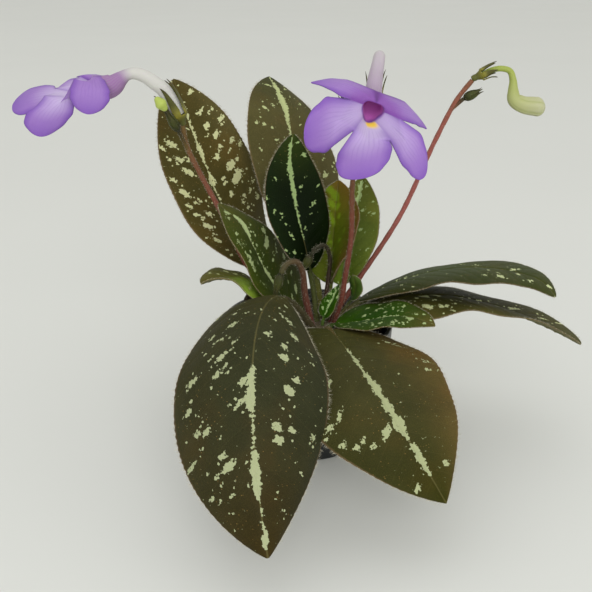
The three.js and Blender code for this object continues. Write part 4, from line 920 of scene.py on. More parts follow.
def leaf_piece(name, leaf, look, seed):
    """Makes and hands over a leaf; returns its upper face, normals and the line of its stalk."""
    length = leaf["blade"]
    rows = int(np.clip(length / ROW_LENGTH, 24, 170))
    columns = 2 * int(np.clip(leaf["width"] / COLUMN_WIDTH, 8, 44))
    u = np.linspace(0, 1, rows + 1)
    t = u - 0.11 * np.sin(2 * np.pi * u)
    t[0], t[-1] = 0.0004, 0.9996
    x = np.linspace(-1, 1, columns + 1)
    a = np.sign(x) * np.abs(x) ** 1.1
    grid, across = blade_sheet(leaf, t, a)
    along = t[:, None] * length + 0 * across
    normal = grid_normals(grid)
    reach, far = np.abs(across), np.abs(a)[None, :]
    spacing = 4.2 + 0.04 * length
    vein = along - VEIN_LEAN * reach - 0.006 * reach**2 + np.where(across > 0, spacing / 2, 0)
    phase = (vein / spacing + 0.5) % 1 - 0.5
    fade = np.clip((1 - t[:, None]) * 6, 0, 1) * np.clip(t[:, None] * 12, 0, 1)
    quilt = (np.abs(np.sin(np.pi * vein / spacing)) ** 0.7 - 0.5) * (1 - far**4)
    stout = 0.52 + 0.0095 * length
    ease = np.clip(half_width(leaf, t)[:, None] / 3, 0, 1)
    relief = fade * (0.2 * quilt - 0.13 * band(phase * spacing, 0.5))
    relief = ease * (-0.34 * band(reach, 0.75) + relief)
    thick = 0.4 - 0.22 * far**5
    keel = stout * 0.8 * np.clip(1 - t[:, None] * 1.02, 0, 1) * band(reach, stout * 0.9) * ease
    rib = 0.22 * band(phase * spacing, 0.45) * (1 - far**3) * fade
    top = grid + normal * (thick + relief)[..., None]
    low = grid - normal * (thick - 0.8 * relief + keel + rib)[..., None]
    count = (rows + 1) * (columns + 1)
    faces = []
    for i in range(rows):
        for k in range(columns):
            p = i * (columns + 1) + k
            q = p + columns + 1
            faces.append((p, p + 1, q + 1, q))
            faces.append((p + count, q + count, q + 1 + count, p + 1 + count))
    rim = list(range(columns + 1))
    rim += [(i + 1) * (columns + 1) - 1 for i in range(1, rows + 1)]
    rim += [rows * (columns + 1) + k for k in range(columns - 1, -1, -1)]
    rim += [i * (columns + 1) for i in range(rows - 1, 0, -1)]
    for p, q in zip(rim, rim[1:] + rim[:1]):
        faces.append((p, p + count, q + count, q))

    steps = np.linspace(0, 1, 26)
    places = leaf["stalk"] * steps
    stem, _, _, lifted = leaf_frames(leaf, places)
    stem = stem - lifted * (stout * 0.35 * steps**3)[:, None]
    inside = np.array(leaf["root"]) + (np.array([*CROWN, leaf["root"][2] - 2]) - leaf["root"]) * 0.3
    under, _, _, down = leaf_frames(leaf, leaf["stalk"] + length * np.array([0.03, 0.07, 0.12]))
    under = under - down * stout * 0.6
    path = np.vstack([[inside], stem, under])
    radii = stout * np.concatenate([[1.15], 1.15 - 0.15 * steps, [0.95, 0.75, 0.5]])
    bar_points, bar_faces = tube(path, radii, STALK_SIDES)
    faces += [tuple(i + 2 * count for i in face) for face in bar_faces]
    points = np.vstack([top.reshape(-1, 3), low.reshape(-1, 3), bar_points])

    tones = leaf_tones(leaf, t, a).reshape(-1, 4)
    bar_share = np.repeat(np.concatenate([[0], steps, [1, 1, 1]]), STALK_SIDES)[:, None]
    base, foot = np.array([*leaf.get("stalk_tone", STALK_TONE), 1]), tones[0]
    bar_tones = base + (foot * 0.6 + base * 0.4 - base) * bar_share**2
    marks = mark_field(leaf, t, across, along).ravel()
    if "backlit" in leaf:
        shine = np.clip((marks - 0.35) / 0.6, 0, 1)[:, None] * leaf["backlit"]
        tones, marks = tones + (np.array([*leaf["pale"], 1]) - tones) * shine, 0 * marks
    shape = np.stack([across, along, 0 * across + seed], 2).reshape(-1, 3)
    zero, one = np.zeros(len(bar_points)), np.ones(len(bar_points))
    bar_along = np.repeat(np.arange(len(path)), STALK_SIDES)
    bar_shape = np.stack([one * 60, bar_along, one * seed], 1)
    freckles = leaf["speckle"] * np.clip(1 - 0.2 * band(reach, 2), 0, 1)
    freckles = freckles * (0.45 + 0.75 * far**0.5) * (1 - far**9)
    piece = new_object(
        name, points, faces, look,
        blade_at=np.vstack([shape, shape, bar_shape]),
        tone=np.vstack([tones, tones, bar_tones]),
        pale=np.tile(np.array([*leaf["pale"], 1.0]), (len(points), 1)),
        marks=np.concatenate([marks, marks, zero]),
        speckle=np.concatenate([freckles.ravel(), freckles.ravel(), zero]),
        vein=np.concatenate([(phase * spacing).ravel(), (phase * spacing).ravel(), one * 9]),
        reach=np.concatenate([far.repeat(rows + 1, 0).ravel()] * 2 + [zero]),
        under=np.concatenate([np.zeros(count), np.ones(count), one * 0.5]),
    )
    hand_over(piece, "rosette")
    return top, normal, path, radii


# The velvet: pale areoles of the leaf's net make ragged blotches, over a mottled olive ground with
# gold flecks, a rusty tint, a fine net of veins and a paler belly.
wire, sockets, leaf_look = finish(
    "leaf_velvet", Specular_IOR_Level=0.06, Subsurface_Weight=0.05,
    Subsurface_Radius=(0.6, 1.0, 0.3), Subsurface_Scale=0.001,
)
spot = wire.attribute("blade_at", "Vector")
across, along, seed = spot.parts()
place = wire.vector(across, along, seed * 19.0)
areoles = {"Vector": place, "Scale": 1.25, "Randomness": 1.0}
cell = wire.add("ShaderNodeTexVoronoi", sockets=areoles, output="Position")
chance = wire.add("ShaderNodeTexVoronoi", sockets=areoles, output="Color").parts()[0]
mesh_edge = wire.add("ShaderNodeTexVoronoi", {"feature": "DISTANCE_TO_EDGE"}, areoles)
cell_x, cell_y, cell_z = cell.parts()
side = cell_x.maths("GREATER_THAN", cell_x, 0.0)
slant = cell_y - cell_x.size() * VEIN_LEAN
veinwise = wire.vector(cell_x.size() * 0.24 + side * 31.0, slant * 0.52, cell_z)
splash = wire.noise(veinwise, 1.0, 1.2, 0.5)
small = (splash - 0.80 + wire.attribute("speckle") * 0.22) * 9.0 + 0.5
wander = wire.noise(place, 0.8, 3.0) - 0.5
field = wire.attribute("marks") + wander * 1.8 + (chance - 0.5) * 0.36
blotch = small.maths("MAXIMUM", small, field).between(0.48, 0.52)
grains = {"Vector": place, "Scale": 1.8, "Randomness": 1.0}
grain_far = wire.add("ShaderNodeTexVoronoi", sockets=grains)
grain_pick = wire.add("ShaderNodeTexVoronoi", sockets=grains, output="Color").parts()[1]
gold = (1 - grain_far.between(0.2, 0.42)) * grain_pick.between(0.95, 0.96)
gold = gold * wire.noise(place, 0.09, 1.0).between(0.4, 0.6)
under = wire.attribute("under")
tone = wire.attribute("tone", "Color")
pale = wire.attribute("pale", "Color")
cloud = wire.noise(place, 0.06, 3.0, 0.6)
darker = wire.mix(1.0, tone, (0.45, 0.5, 0.5), "MULTIPLY")
shaded = wire.mix(cloud.between(0.3, 0.7) * 0.4, tone, darker)
rust = wire.noise(wire.vector(across + 40.0, along, seed * 19.0), 0.04, 2.0).between(0.5, 0.72)
shaded = wire.mix(rust * 0.4, shaded, wire.mix(1.0, shaded, (1.6, 1.1, 0.8), "MULTIPLY"))
net = 1 - mesh_edge.between(0.0, 0.10)
pore = wire.noise(place, 2.6, 2.0)
brighter = wire.mix(1.0, tone, tone, "ADD")
lit = wire.mix(net * 0.2 + pore.between(0.55, 0.8) * 0.35, shaded, brighter)
vein = wire.attribute("vein").size()
midrib = 1 - across.size().between(0.12, 0.42)
ripe = tone.parts()[1].between(0.005, 0.04)
side_vein = (1 - vein.between(0.05, 0.35)) * 0.06 * ripe
ribbed = wire.mix(side_vein + midrib * 0.35, lit, (0.16, 0.14, 0.05))
flecked = wire.mix(gold * 0.6 * ripe, ribbed, (0.34, 0.21, 0.06))
painted = wire.mix(blotch * (0.85 + pore * 0.3), flecked, pale)
margin = wire.attribute("reach").between(0.965, 1.0)
edged = wire.mix(margin * 0.55, painted, (0.20, 0.13, 0.07))
belly = wire.mix(vein.between(0.0, 0.6) * 0.5 + 0.25, (0.24, 0.20, 0.10), (0.115, 0.12, 0.045))
coloured = wire.mix(under.between(0.6, 0.9) * 0.85, edged, belly)
coat(sockets, "Base Color", coloured)
coat(sockets, "Roughness", 0.46 + pore * 0.2 + blotch * 0.05)
height = mesh_edge.between(0.0, 0.3) * 0.7 + pore * 0.5 - (1 - vein.between(0.0, 0.3)) * 0.8
coat(sockets, "Normal", height.bump(0.35, 0.00025))

sheets, leaf_stalks = [], []
for seed, (name, leaf) in enumerate(leaves.items()):
    top, normal, path, radii = leaf_piece(name, leaf, leaf_look, seed + 1)
    sheets.append((top, normal, leaf))
    leaf_stalks.append((path, radii))


# Crown: the short fleshy stem that stands in a hole in the soil and carries every leaf and flower
# stalk. It is brown and woody, scarred where old leaves came off.
profile = [
    (0.01, 40), (5.5, 40), (CROWN_RADIUS, 43), (CROWN_RADIUS, 52), (6.06, 53.65),
    (3.5, 54.86), (0.01, 55.3),
]
crown_points, crown_faces = turned(rounded(profile, 1.0), 48)
turns = np.arctan2(crown_points[:, 1], crown_points[:, 0])
scars = 0.25 * np.sin(5 * turns + crown_points[:, 2] * 1.1) * np.sin(2.4 * crown_points[:, 2])
swell = 1 + scars / CROWN_RADIUS
crown_points = crown_points * np.stack([swell, swell, np.ones(len(scars))], 1)
wire, sockets, material = finish("crown_skin", Roughness=0.7)
place = wire.place()
woody = wire.mix(wire.noise(place, 500.0, 3.0), (0.055, 0.035, 0.018), (0.12, 0.10, 0.045))
coat(sockets, "Base Color", woody)
coat(sockets, "Normal", wire.noise(place, 900.0, 4.0).bump(0.5, 0.0003))
crown = new_object("crown", crown_points + (*CROWN, 0), crown_faces, material)
close_poles(crown.data)
hand_over(crown, "rosette")


# Corollas: two open flowers. Each is one thin soft sheet: a white tube that bends down, up and
# forward again, and a flaring mouth cut into five lobes, two above and three longer ones below.

# tube: points up its middle, and radii there. facing: slope and heading of the mouth; turn: about
# that way. Notches and lobes are in mm from the middle of the mouth: to the right, up and forward.
# side: the way across a lobe's foot. widest: where along; point: how much narrower its tip is.
# blush: where the pink of the tube starts and is full, and how strong it is. throat and pale: how
# dark and pale the lobes' feet are; throat also sets the painted shade where the two upper lobes meet.
# mouth: how far the round mouth is drawn out to three corners.
flowers = {
    "flower_centre": {
        "tube": [
            (26.4, 0.5, 154.5), (26.9, 0, 161), (27.2, -2.8, 166.6), (27, -7, 168.2),
            (26, -10.4, 164.4), (24.95, -12.2, 158.6), (24.3, -14.4, 153), (23.7, -19, 150.8),
            (23.3, -24.4, 150.4),
        ],
        "radii": (1.9, 2.3, 2.1, 1.85, 2.2, 2.75, 3.3, 3.7, 4.2), "facing": (-12, -86), "turn": -21,
        "blush": (-0.9, -0.3, 0.6), "throat": 0.72, "pale": 0.55, "mouth": 0.14,
        "notches": [(-0.2, 6.1, -4.5), (-10, 2.2, 2.5), (-6.7, -5.1, 11.8), (6, -3, 15), (9.4, 2.4, 5)],
        "lobes": [
            {"tip": (23.5, 0, -3), "bend": (12.5, 7.3, -2.5), "side": (0.15, -0.2, 0.94),
             "width": 15.5, "widest": 0.4, "point": 0.75},
            {"tip": (-24, 0.2, -6.6), "bend": (-10.5, 8.6, -1.5), "side": (0.25, 0.2, -0.94),
             "width": 15.5, "widest": 0.4, "point": 0.75},
            {"tip": (-22.8, -13.2, 11.7), "bend": (-13, -5.5, 7.6), "side": (-0.33, 0.89, -0.31),
             "width": 19, "widest": 0.6},
            {"tip": (-3.1, -15.4, 29.5), "bend": (-1.5, -5, 15), "side": (-0.88, -0.47, -0.05),
             "width": 20, "widest": 0.64},
            {"tip": (23.8, -10.8, 16.8), "bend": (15, -1, 12), "side": (-0.3, -0.8, 0.52),
             "width": 13, "widest": 0.55},
        ],
    },
    "flower_left": {
        "tube": [(-53.8, 14.2, 142.6), (-56.4, 14, 148), (-59.4, 13.8, 152.9), (-62.9, 13.4, 155.8),
                 (-66.4, 13, 158.3), (-70.5, 12.5, 159.7), (-73.5, 11.5, 159.3), (-76, 11, 157.8),
                 (-79.1, 10, 155.4), (-81.8, 9.3, 154.5), (-87.6, 8, 154.4)],
        "radii": (2.3, 2.7, 2.7, 2.6, 2.4, 2.1, 1.9, 2.6, 4.1, 4.7, 4.7), "facing": (10, 185), "turn": 0,
        "blush": (-0.48, -0.28, 0.9), "throat": 0.15, "pale": 0.85, "mouth": 0,
        "notches": [(0, 5.4, -4), (-7, 3, 5.5), (-6, -3.6, 16), (4.5, -5.4, 17.5), (5, 3.2, 6.5)],
        "lobes": [
            {"tip": (12.7, -8.2, -1.2), "bend": (11, 5, -0.5), "side": (0, -0.1, 0.99),
             "width": 16, "widest": 0.55},
            {"tip": (-12.5, 3.2, -1), "bend": (-7.5, 5, 0), "side": (0, 0.06, -1),
             "width": 16, "widest": 0.5},
            {"tip": (-10, -9, 19), "bend": (-7.5, 1.2, 11), "side": (-0.75, 0.6, -0.25),
             "width": 12, "widest": 0.6},
            {"tip": (-1, -11.8, 30.6), "bend": (-1, -2, 17), "side": (-0.87, 0.46, 0),
             "width": 19, "widest": 0.74},
            {"tip": (9.2, -20.7, 17), "bend": (9, -6, 16), "side": (0.1, -0.1, 0.99),
             "width": 17, "widest": 0.6},
        ],
    },
}
PETAL_COLUMNS = 20
PETAL_ROWS = 40
TUBE_ROWS = 72
TUBE_MARK = 9
NOTCH_SHARE = 0.25


def curve_at(points, shares):
    """Smooth curve through points (centripetal), at shares of its knots from 0 to 1."""
    points = np.asarray(points, float)
    if points.ndim == 1:
        points = points[:, None]
    ends = np.vstack([[2 * points[0] - points[1]], points, [2 * points[-1] - points[-2]]])
    found = []
    for share in np.atleast_1d(shares):
        at = share * (len(points) - 1)
        i = min(int(at), len(points) - 2)
        weight = at - i
        p = ends[i:i + 4]
        gaps = np.maximum(np.sum(np.diff(p, axis=0) ** 2, axis=1) ** 0.25, 1e-4)
        first = (p[1] - p[0]) / gaps[0] - (p[2] - p[0]) / (gaps[0] + gaps[1]) + (p[2] - p[1]) / gaps[1]
        last = (p[2] - p[1]) / gaps[1] - (p[3] - p[1]) / (gaps[1] + gaps[2]) + (p[3] - p[2]) / gaps[2]
        first, last = gaps[1] * first, gaps[1] * last
        square, cube = 3 * (p[2] - p[1]) - 2 * first - last, 2 * (p[1] - p[2]) + first + last
        found.append(p[1] + weight * (first + weight * (square + weight * cube)))
    return np.array(found)


def unit(vectors):
    return vectors / np.linalg.norm(vectors, axis=-1, keepdims=True)


def tube_frames(flower, shares):
    """Point, direction, side, up and radius of a flower's tube at shares of its length."""
    slope, heading = np.radians(flower["facing"])
    facing = ways([slope], [heading])[0]
    upright = unit(np.array([0, 0, 1]) - facing * facing[2])
    turn = math.radians(flower["turn"])
    right = np.cross(upright, facing) * math.cos(turn) + upright * math.sin(turn)
    shares = np.atleast_1d(np.asarray(shares, float))
    points = curve_at(flower["tube"], shares)
    low, high = np.clip(shares - 0.002, 0, 1), np.clip(shares + 0.002, 0, 1)
    along = unit(curve_at(flower["tube"], high) - curve_at(flower["tube"], low))
    ease = np.clip((shares - 0.75) / 0.25, 0, 1)[:, None]
    along = unit(along + (facing - along) * ease**2 * (3 - 2 * ease))
    across = unit(right - along * (along @ right)[:, None])
    knots = np.linspace(0, 1, len(flower["radii"]))
    before, here, after = [np.interp(shares + d, knots, flower["radii"]) for d in (-0.04, 0, 0.04)]
    radii = 0.5 * here + 0.25 * (before + after)
    return points, along, across, np.cross(along, across), radii


def sheet_shell(points, faces, half):
    """A closed solid from a one-sided sheet of four-cornered faces; half: half its thickness."""
    points, quads = np.asarray(points, float), np.array(faces)
    normals = np.zeros_like(points)
    across = np.cross(points[quads[:, 2]] - points[quads[:, 0]], points[quads[:, 3]] - points[quads[:, 1]])
    for corner in range(4):
        np.add.at(normals, quads[:, corner], across)
    normals /= np.maximum(np.linalg.norm(normals, axis=1, keepdims=True), 1e-9)
    count = len(points)
    edges = {}
    for quad in quads.tolist():
        for p, q in zip(quad, quad[1:] + quad[:1]):
            if p != q and edges.pop((q, p), None) is None:
                edges[(p, q)] = True
    solid = [tuple(quad) for quad in quads.tolist()]
    solid += [tuple(i + count for i in reversed(quad)) for quad in quads.tolist()]
    solid += [(p, p + count, q + count, q) for p, q in edges]
    return np.vstack([points + normals * half[:, None], points - normals * half[:, None]]), solid


def lobe_half(lobe, t):
    """Half a lobe's width at t along it, with an uneven edge."""
    past = np.clip((t - lobe["widest"]) / (1 - lobe["widest"]), 0, 1)
    point = 1 - lobe.get("point", 0) * past**1.6
    point *= 1 + 0.035 * np.sin(13 * t + lobe["width"]) + 0.02 * np.sin(31 * t + 3 * lobe["width"])
    return lobe["width"] / 2 * np.minimum(1, 0.5 + t / lobe["widest"] / 2) * np.sqrt(1 - past**2.4) * point


def corolla_sheet(flower):
    """Points, faces and places (across, along, lobe) of the tube and its five lobes."""
    around = PETAL_COLUMNS * 5
    turns = np.radians(18 + 360 * np.arange(around) / around)[:, None]
    points, places, faces = [], [], ring_faces(TUBE_ROWS + 1, around, flipped=True)
    shares = np.linspace(0, 1, TUBE_ROWS + 1)
    for share, centre, _, across, up, radius in zip(shares, *tube_frames(flower, shares)):
        mouth = radius * (1 + flower["mouth"] * np.sin(3 * turns) * share**6)
        points.append(centre + mouth * (np.cos(turns) * across + np.sin(turns) * up))
        level, mark = np.full(around, share - 1), np.full(around, float(TUBE_MARK))
        places.append(np.stack([np.arange(around) / PETAL_COLUMNS, level, mark], 1))
    points, places = list(np.vstack(points)), list(np.vstack(places))
    centre, ahead, across, up, _ = [f[0] for f in tube_frames(flower, 1)]

    def place_of(p):
        return centre + across * p[0] + up * p[1] + ahead * p[2]

    start = TUBE_ROWS * around
    rim = [points[start + k % around] for k in range(around + PETAL_COLUMNS)]
    notches = [place_of(notch) for notch in flower["notches"]]
    seams = {}
    for n, lobe in enumerate(flower["lobes"]):
        foot = rim[n * PETAL_COLUMNS + PETAL_COLUMNS // 2]
        bend, tip = place_of(lobe["bend"]), place_of(lobe["tip"])
        side = unit(place_of(lobe["side"]) - centre)
        below = [start + (n * PETAL_COLUMNS + i) % around for i in range(PETAL_COLUMNS + 1)]
        for j in range(1, PETAL_ROWS + 1):
            s = j / PETAL_ROWS
            t = math.sin(math.pi / 2 * s * 0.999)
            middle = (1 - t) ** 2 * foot + 2 * t * (1 - t) * bend + t * t * tip
            ahead_t = unit(2 * (1 - t) * (bend - foot) + 2 * t * (tip - bend))
            outer, half = np.cross(ahead_t, side), lobe_half(lobe, t)
            free = np.clip((s - NOTCH_SHARE) / (NOTCH_SHARE / 2), 0, 1)
            free = free * free * (3 - 2 * free)
            here = []
            for i in range(PETAL_COLUMNS + 1):
                a = 1 - 2 * i / PETAL_COLUMNS
                seam = (n + 4) % 5 if a > 0 else n
                edge = rim[(seam + 1) * PETAL_COLUMNS]
                edge = edge + (notches[seam] - edge) * min(s / NOTCH_SHARE, 1)
                joined = middle + (edge - middle) * abs(a) + rim_bow(foot, rim, n, i, s)
                ruffle = 0.35 * abs(a) ** 3 * math.sin(9 * t + 3 * n) * min(1, half / 4)
                crease = 0.5 * math.exp(-(a / 0.1) ** 2) * (1 - t) * 0.6
                loose = middle + side * half * a + outer * (0.15 * half * a * a + ruffle - crease)
                if abs(a) == 1 and s <= NOTCH_SHARE:
                    key = (seam, j)
                    if key not in seams:
                        seams[key] = len(points)
                        points.append(edge)
                        places.append(np.array([a, s, n]))
                    here.append(seams[key])
                    continue
                here.append(len(points))
                points.append(joined + (loose - joined) * free)
                places.append(np.array([a, s, n]))
            for i in range(PETAL_COLUMNS):
                faces.append((below[i], here[i], here[i + 1], below[i + 1]))
            below = here
    return np.array(points), faces, np.array(places)


def rim_bow(foot, rim, n, i, s):
    """Carries the round of the mouth a little way into the foot of a lobe."""
    corner = rim[(n if i < PETAL_COLUMNS / 2 else n + 1) * PETAL_COLUMNS]
    chord = foot + (corner - foot) * abs(1 - 2 * i / PETAL_COLUMNS)
    return (rim[n * PETAL_COLUMNS + i] - chord) * max(0, 1 - s / NOTCH_SHARE) ** 2


VIOLET, LILAC = np.array((0.180, 0.075, 0.370)), np.array((0.285, 0.160, 0.450))
THROAT, WHITE = np.array((0.620, 0.160, 0.560)), np.array((0.560, 0.480, 0.680))
MAUVE, CREAM = np.array((0.170, 0.035, 0.270)), np.array((0.530, 0.530, 0.480))
YELLOW, BLUSH = np.array((0.950, 0.640, 0.040)), np.array((0.250, 0.130, 0.290))


def step_to(x, low, high):
    """0 at low and 1 at high, with a smooth step between."""
    x = np.clip((x - low) / (high - low), 0, 1)
    return (x * x * (3 - 2 * x))[:, None]


def corolla_tones(places, blush, throat, white):
    """Colour of the sheet inside and outside; throat, white: how dark and pale lobes' feet are, and throat
    also how strong the painted shade is where the upper lobes meet.
    """
    across, along, lobe = places.T
    lower = np.isin(lobe, (2, 3, 4)).astype(float)[:, None]
    lip = (lobe == 3).astype(float)[:, None]
    inner = LILAC + (VIOLET - LILAC) * step_to(np.maximum(np.abs(across) ** 1.5, along), 0.35, 0.95)
    near = 1 - step_to(along - 0.15 * np.abs(across), 0.0, 0.36)
    inner = inner + (MAUVE - inner) * near * (1 - lower) * throat
    pale = (1 - step_to(along + 0.2 * across**2, 0.12, 0.6)) * np.minimum(white * lower + 0.25 * lip, 1)
    inner = inner + (WHITE - inner) * pale
    spot = np.hypot((across + 0.4) * 1.1, (along - 0.035) * 10)
    inner = inner + (WHITE - inner) * (1 - step_to(spot, 0.7, 1.4)) * lip * 0.8
    spot = (1 - step_to(spot, 0.45, 0.9)) * lip
    inner = inner + (YELLOW - inner) * spot * (along >= -0.02)[:, None]
    # Painted shade: a dark line where the two upper lobes meet near the throat, as strong as throat sets.
    between = np.where(lobe == 1, across, -across) * (lobe < 2)
    seam = step_to(between, 0.7, 0.98) * (1 - step_to(along, 0.2, 0.42)) * throat
    inner = inner + (0.35 * MAUVE - inner) * seam * 0.8
    inside = 1 - step_to(along + 0.012 * np.sin(9 * across + 2 * lobe), -0.1, 0.012)
    inner = inner + (THROAT - inner) * inside * (1 - 0.6 * spot)
    outer = LILAC + (VIOLET - LILAC) * step_to(along, 0.1, 0.8)
    outer = CREAM + (outer - CREAM) * step_to(along, -0.12, 0.25)
    flushed = step_to(along, *blush[:2]) * (1 - step_to(along, -0.05, 0.2)) * blush[2]
    outer = outer + (BLUSH - outer) * flushed
    return inner, outer


wire, sockets, petal_look = finish(
    "petal", Specular_IOR_Level=0.15, Sheen_Weight=0.04, Sheen_Roughness=0.5,
    Subsurface_Weight=0.15, Subsurface_Radius=(1.0, 0.7, 1.2), Subsurface_Scale=0.0012,
)
spot = wire.attribute("petal_at", "Vector")
across, along, lobe = spot.parts()
tone = wire.attribute("tone", "Color")
wander = wire.noise(spot, 5.0, 2.0) - 0.5
lines = ((across + wander * 0.16) * 34.0).sine().between(0.3, 1.0)
lines = lines * along.between(0.05, 0.2) * (1 - along.between(0.3, 0.75))
lines = lines * (1 - across.size().between(0.4, 1.0))
stripes = ((across + wander * 0.05) * 31.4).sine().between(0.1, 0.9) * wire.attribute("outside")
stripes = stripes * along.between(-0.42, -0.2) * (1 - along.between(-0.04, 0.02))
veined = wire.mix(lines * 0.13, tone, (0.12, 0.035, 0.30))
veined = wire.mix(stripes * 0.55, veined, (0.28, 0.08, 0.32))
cells = wire.noise(wire.place(), 2600.0, 2.0)
veined = wire.mix(cells * 0.10, veined, (0.50, 0.38, 0.70))
# Painted shade: a dark line along the very edge of the lobes.
rim = wire.attribute("rim").between(0.965, 1.0) * 0.6
coat(sockets, "Base Color", wire.mix(rim, veined, (0.12, 0.09, 0.22)))
coat(sockets, "Roughness", 0.5 + cells * 0.15)
height = cells * 0.5 - lines * 0.5
coat(sockets, "Normal", height.bump(0.25, 0.0002))

for name, flower in flowers.items():
    points, faces, places = corolla_sheet(flower)
    across, along, lobe = places.T
    edge = np.where(lobe < TUBE_MARK, np.maximum(np.abs(across), along), 0)
    edge = np.where(along < 0.3, 0, edge)
    half = 0.3 - 0.16 * np.clip(edge, 0, 1) ** 4
    shell, solid = sheet_shell(points, faces, half)
    inner, outer = corolla_tones(places, flower["blush"], flower["throat"], flower["pale"])
    tones = np.hstack([np.vstack([inner, outer]), np.ones((2 * len(inner), 1))])
    corolla = new_object(
        name + "_corolla", shell, solid, petal_look, petal_at=np.vstack([places, places]),
        tone=tones, rim=np.tile(edge, 2), outside=np.repeat([0.0, 1.0], len(points)),
    )
    hand_over(corolla, name)


# Flower stalks: three tall wiry stalks with narrow green sepals under their flower, a side branch
# with a closed bud, and two young nodding stalks. Fleshy and red-brown, downy all over.

# line: points up a stalk's middle, and radii there. sepals: how far their tips stand off, the share
# of the flower's tube that they reach along, half their width and the first one's turn. side and
# side_bud: the side branch and its bud, from foot to tip. bract: the little leaf under it.
stalks = {
    "stalk_left": {
        "line": [
            (2.5, -2.2, 48.8), (-1.9, -1.3, 50.9), (-7.1, 1.5, 57.5), (-14, 5.2, 67.2),
            (-26, 6.7, 78.4), (-35.2, 10.5, 97.5), (-46, 14, 118), (-51, 15, 129),
            (-52.6, 14.5, 138.6),
        ],
        "radii": (1, 1.1, 1.1, 1.1), "flower": "flower_left", "sepals": (0.7, 0.24, 1.9, 0),
        "side": [(-50.6, 14.8, 127.5), (-54, 12, 136.5)], "side_bud": [(-54, 12, 136.5), (-58.1, 8, 145.2)],
        "bract": [(-51, 15, 129), (-53.5, 13.6, 134.5)],
        "tones": [
            (0.1, 0.04, 0.02), (0.15, 0.04, 0.024), (0.17, 0.042, 0.025), (0.19, 0.048, 0.03),
            (0.15, 0.055, 0.025), (0.13, 0.08, 0.02),
        ],
    },
    "stalk_centre": {
        "line": [
            (10.4, -3.6, 52.6), (12.1, -4.3, 58), (14.5, -6.6, 67), (15.6, -6.8, 75.6), (18, -7, 96),
            (18.2, -5.6, 120), (21, -2.6, 137), (25.8, 0.4, 151),
        ],
        "radii": (1.2, 1.1, 1, 1), "flower": "flower_centre", "sepals": (1.0, 0.14, 0.6, 36),
        "side": [(20, -3.6, 133), (17, -7, 144)], "side_bud": [(17, -7, 144), (12.4, -8, 153.5)],
        "bract": [(20, -3.6, 133), (17.5, -5.5, 138)],
        "tones": [
            (0.11, 0.03, 0.018), (0.14, 0.036, 0.022), (0.15, 0.042, 0.024),
            (0.14, 0.07, 0.025), (0.11, 0.11, 0.025),
        ],
    },
    "stalk_right": {
        "line": [
            (9.2, -0.4, 52), (13.4, 1.3, 60), (23.2, 5.6, 73.6), (40, 8, 101.2), (53, 9, 133),
            (61, 9, 150), (66.5, 9, 157.4),
        ],
        "radii": (1.2, 1.1, 1, 1), "flower": "bud_right", "sepals": (0.9, 0.19, 1.25, 36),
        "side": [(58.5, 9, 145.5), (63.5, 8.5, 150.2)], "side_bud": [(63.5, 8.5, 150.2), (70.5, 8, 153.6)],
        "bract": [(58.5, 9, 145.5), (61.2, 8.4, 150.4)],
        "tones": [
            (0.13, 0.034, 0.022), (0.16, 0.042, 0.028), (0.2, 0.058, 0.042), (0.3, 0.085, 0.07),
            (0.31, 0.088, 0.072), (0.27, 0.078, 0.058), (0.19, 0.075, 0.036),
        ],
    },
    "stalk_young_front": {
        "line": [
            (2.9, -4.8, 52), (1.5, -6.6, 58), (-1, -9, 71), (-2.2, -11.6, 82.4), (-4.8, -14, 87.6),
            (-8.4, -15.6, 87.4), (-11, -16.8, 83.6),
        ],
        "radii": (1.5, 1.45, 1.3, 1.1), "flower": None,
        "side": None, "side_bud": [(-11, -16.8, 83.6), (-13.6, -18.6, 74.6)],
        "tones": [
            (0.14, 0.03, 0.024), (0.12, 0.036, 0.024), (0.09, 0.042, 0.022),
            (0.055, 0.055, 0.018),
        ],
    },
    "stalk_young_back": {
        "line": [
            (6.5, -0.8, 52), (7.5, 1.9, 60), (9.3, 4.4, 74), (9.8, 4.8, 83.4), (7.4, 3.8, 88.8),
            (3.8, 2.6, 87.8), (1.6, 1.4, 85),
        ],
        "radii": (1.1, 1.0, 0.9, 0.85), "flower": None,
        "side": None, "side_bud": [(1.6, 1.4, 85), (-2.2, 0, 78.6)],
        "tones": [
            (0.045, 0.018, 0.009), (0.035, 0.016, 0.008), (0.025, 0.018, 0.008),
            (0.02, 0.022, 0.008),
        ],
    },
}
BUD = {
    "tube": [(70.5, 9, 159.8), (74, 9, 161.4), (78, 8.8, 162), (81.3, 8.6, 161), (82.8, 8.4, 157.5),
             (83.2, 8.2, 153.5), (84, 8, 150), (87.5, 8, 147.8), (93, 8, 147)],
    "radii": (1, 1.1, 1.15, 1.2, 1.4, 2.1, 2.9, 3.4, 3.9), "facing": (0, 0), "turn": 0,
}
CALYX_GAP = 0.42
SEPALS = 5
SEPAL_SIDES = 10
STALK_GREEN = (0.110, 0.120, 0.030)
SEPAL_GREEN, SEPAL_TIP = (0.075, 0.075, 0.014), (0.045, 0.040, 0.015)
YOUNG_GREEN, CALYX_LIME = (0.020, 0.022, 0.006), (0.240, 0.220, 0.030)
FOLDED_GREEN = (0.050, 0.060, 0.009)


class Bundle:
    """Bars and blades gathered into one mesh, with a tone at every point."""

    def __init__(self):
        self.points, self.faces, self.tones, self.count = [], [], [], 0

    def gather(self, points, faces, tones):
        self.faces += [tuple(i + self.count for i in face) for face in faces]
        self.points.append(points)
        self.tones.append(tones)
        self.count += len(points)

    def bar(self, path, radii, tones, around):
        points, faces = tube(path, radii, around)
        self.gather(points, faces, np.repeat(tones, around, axis=0))


def eased(values, count):
    """Evenly spread values, or colours, drawn out to a count."""
    values = np.asarray(values, float)
    shares, knots = np.linspace(0, 1, count), np.linspace(0, 1, len(values))
    if values.ndim == 1:
        return np.interp(shares, knots, values)
    return np.stack([np.interp(shares, knots, values[:, i]) for i in range(values.shape[1])], 1)


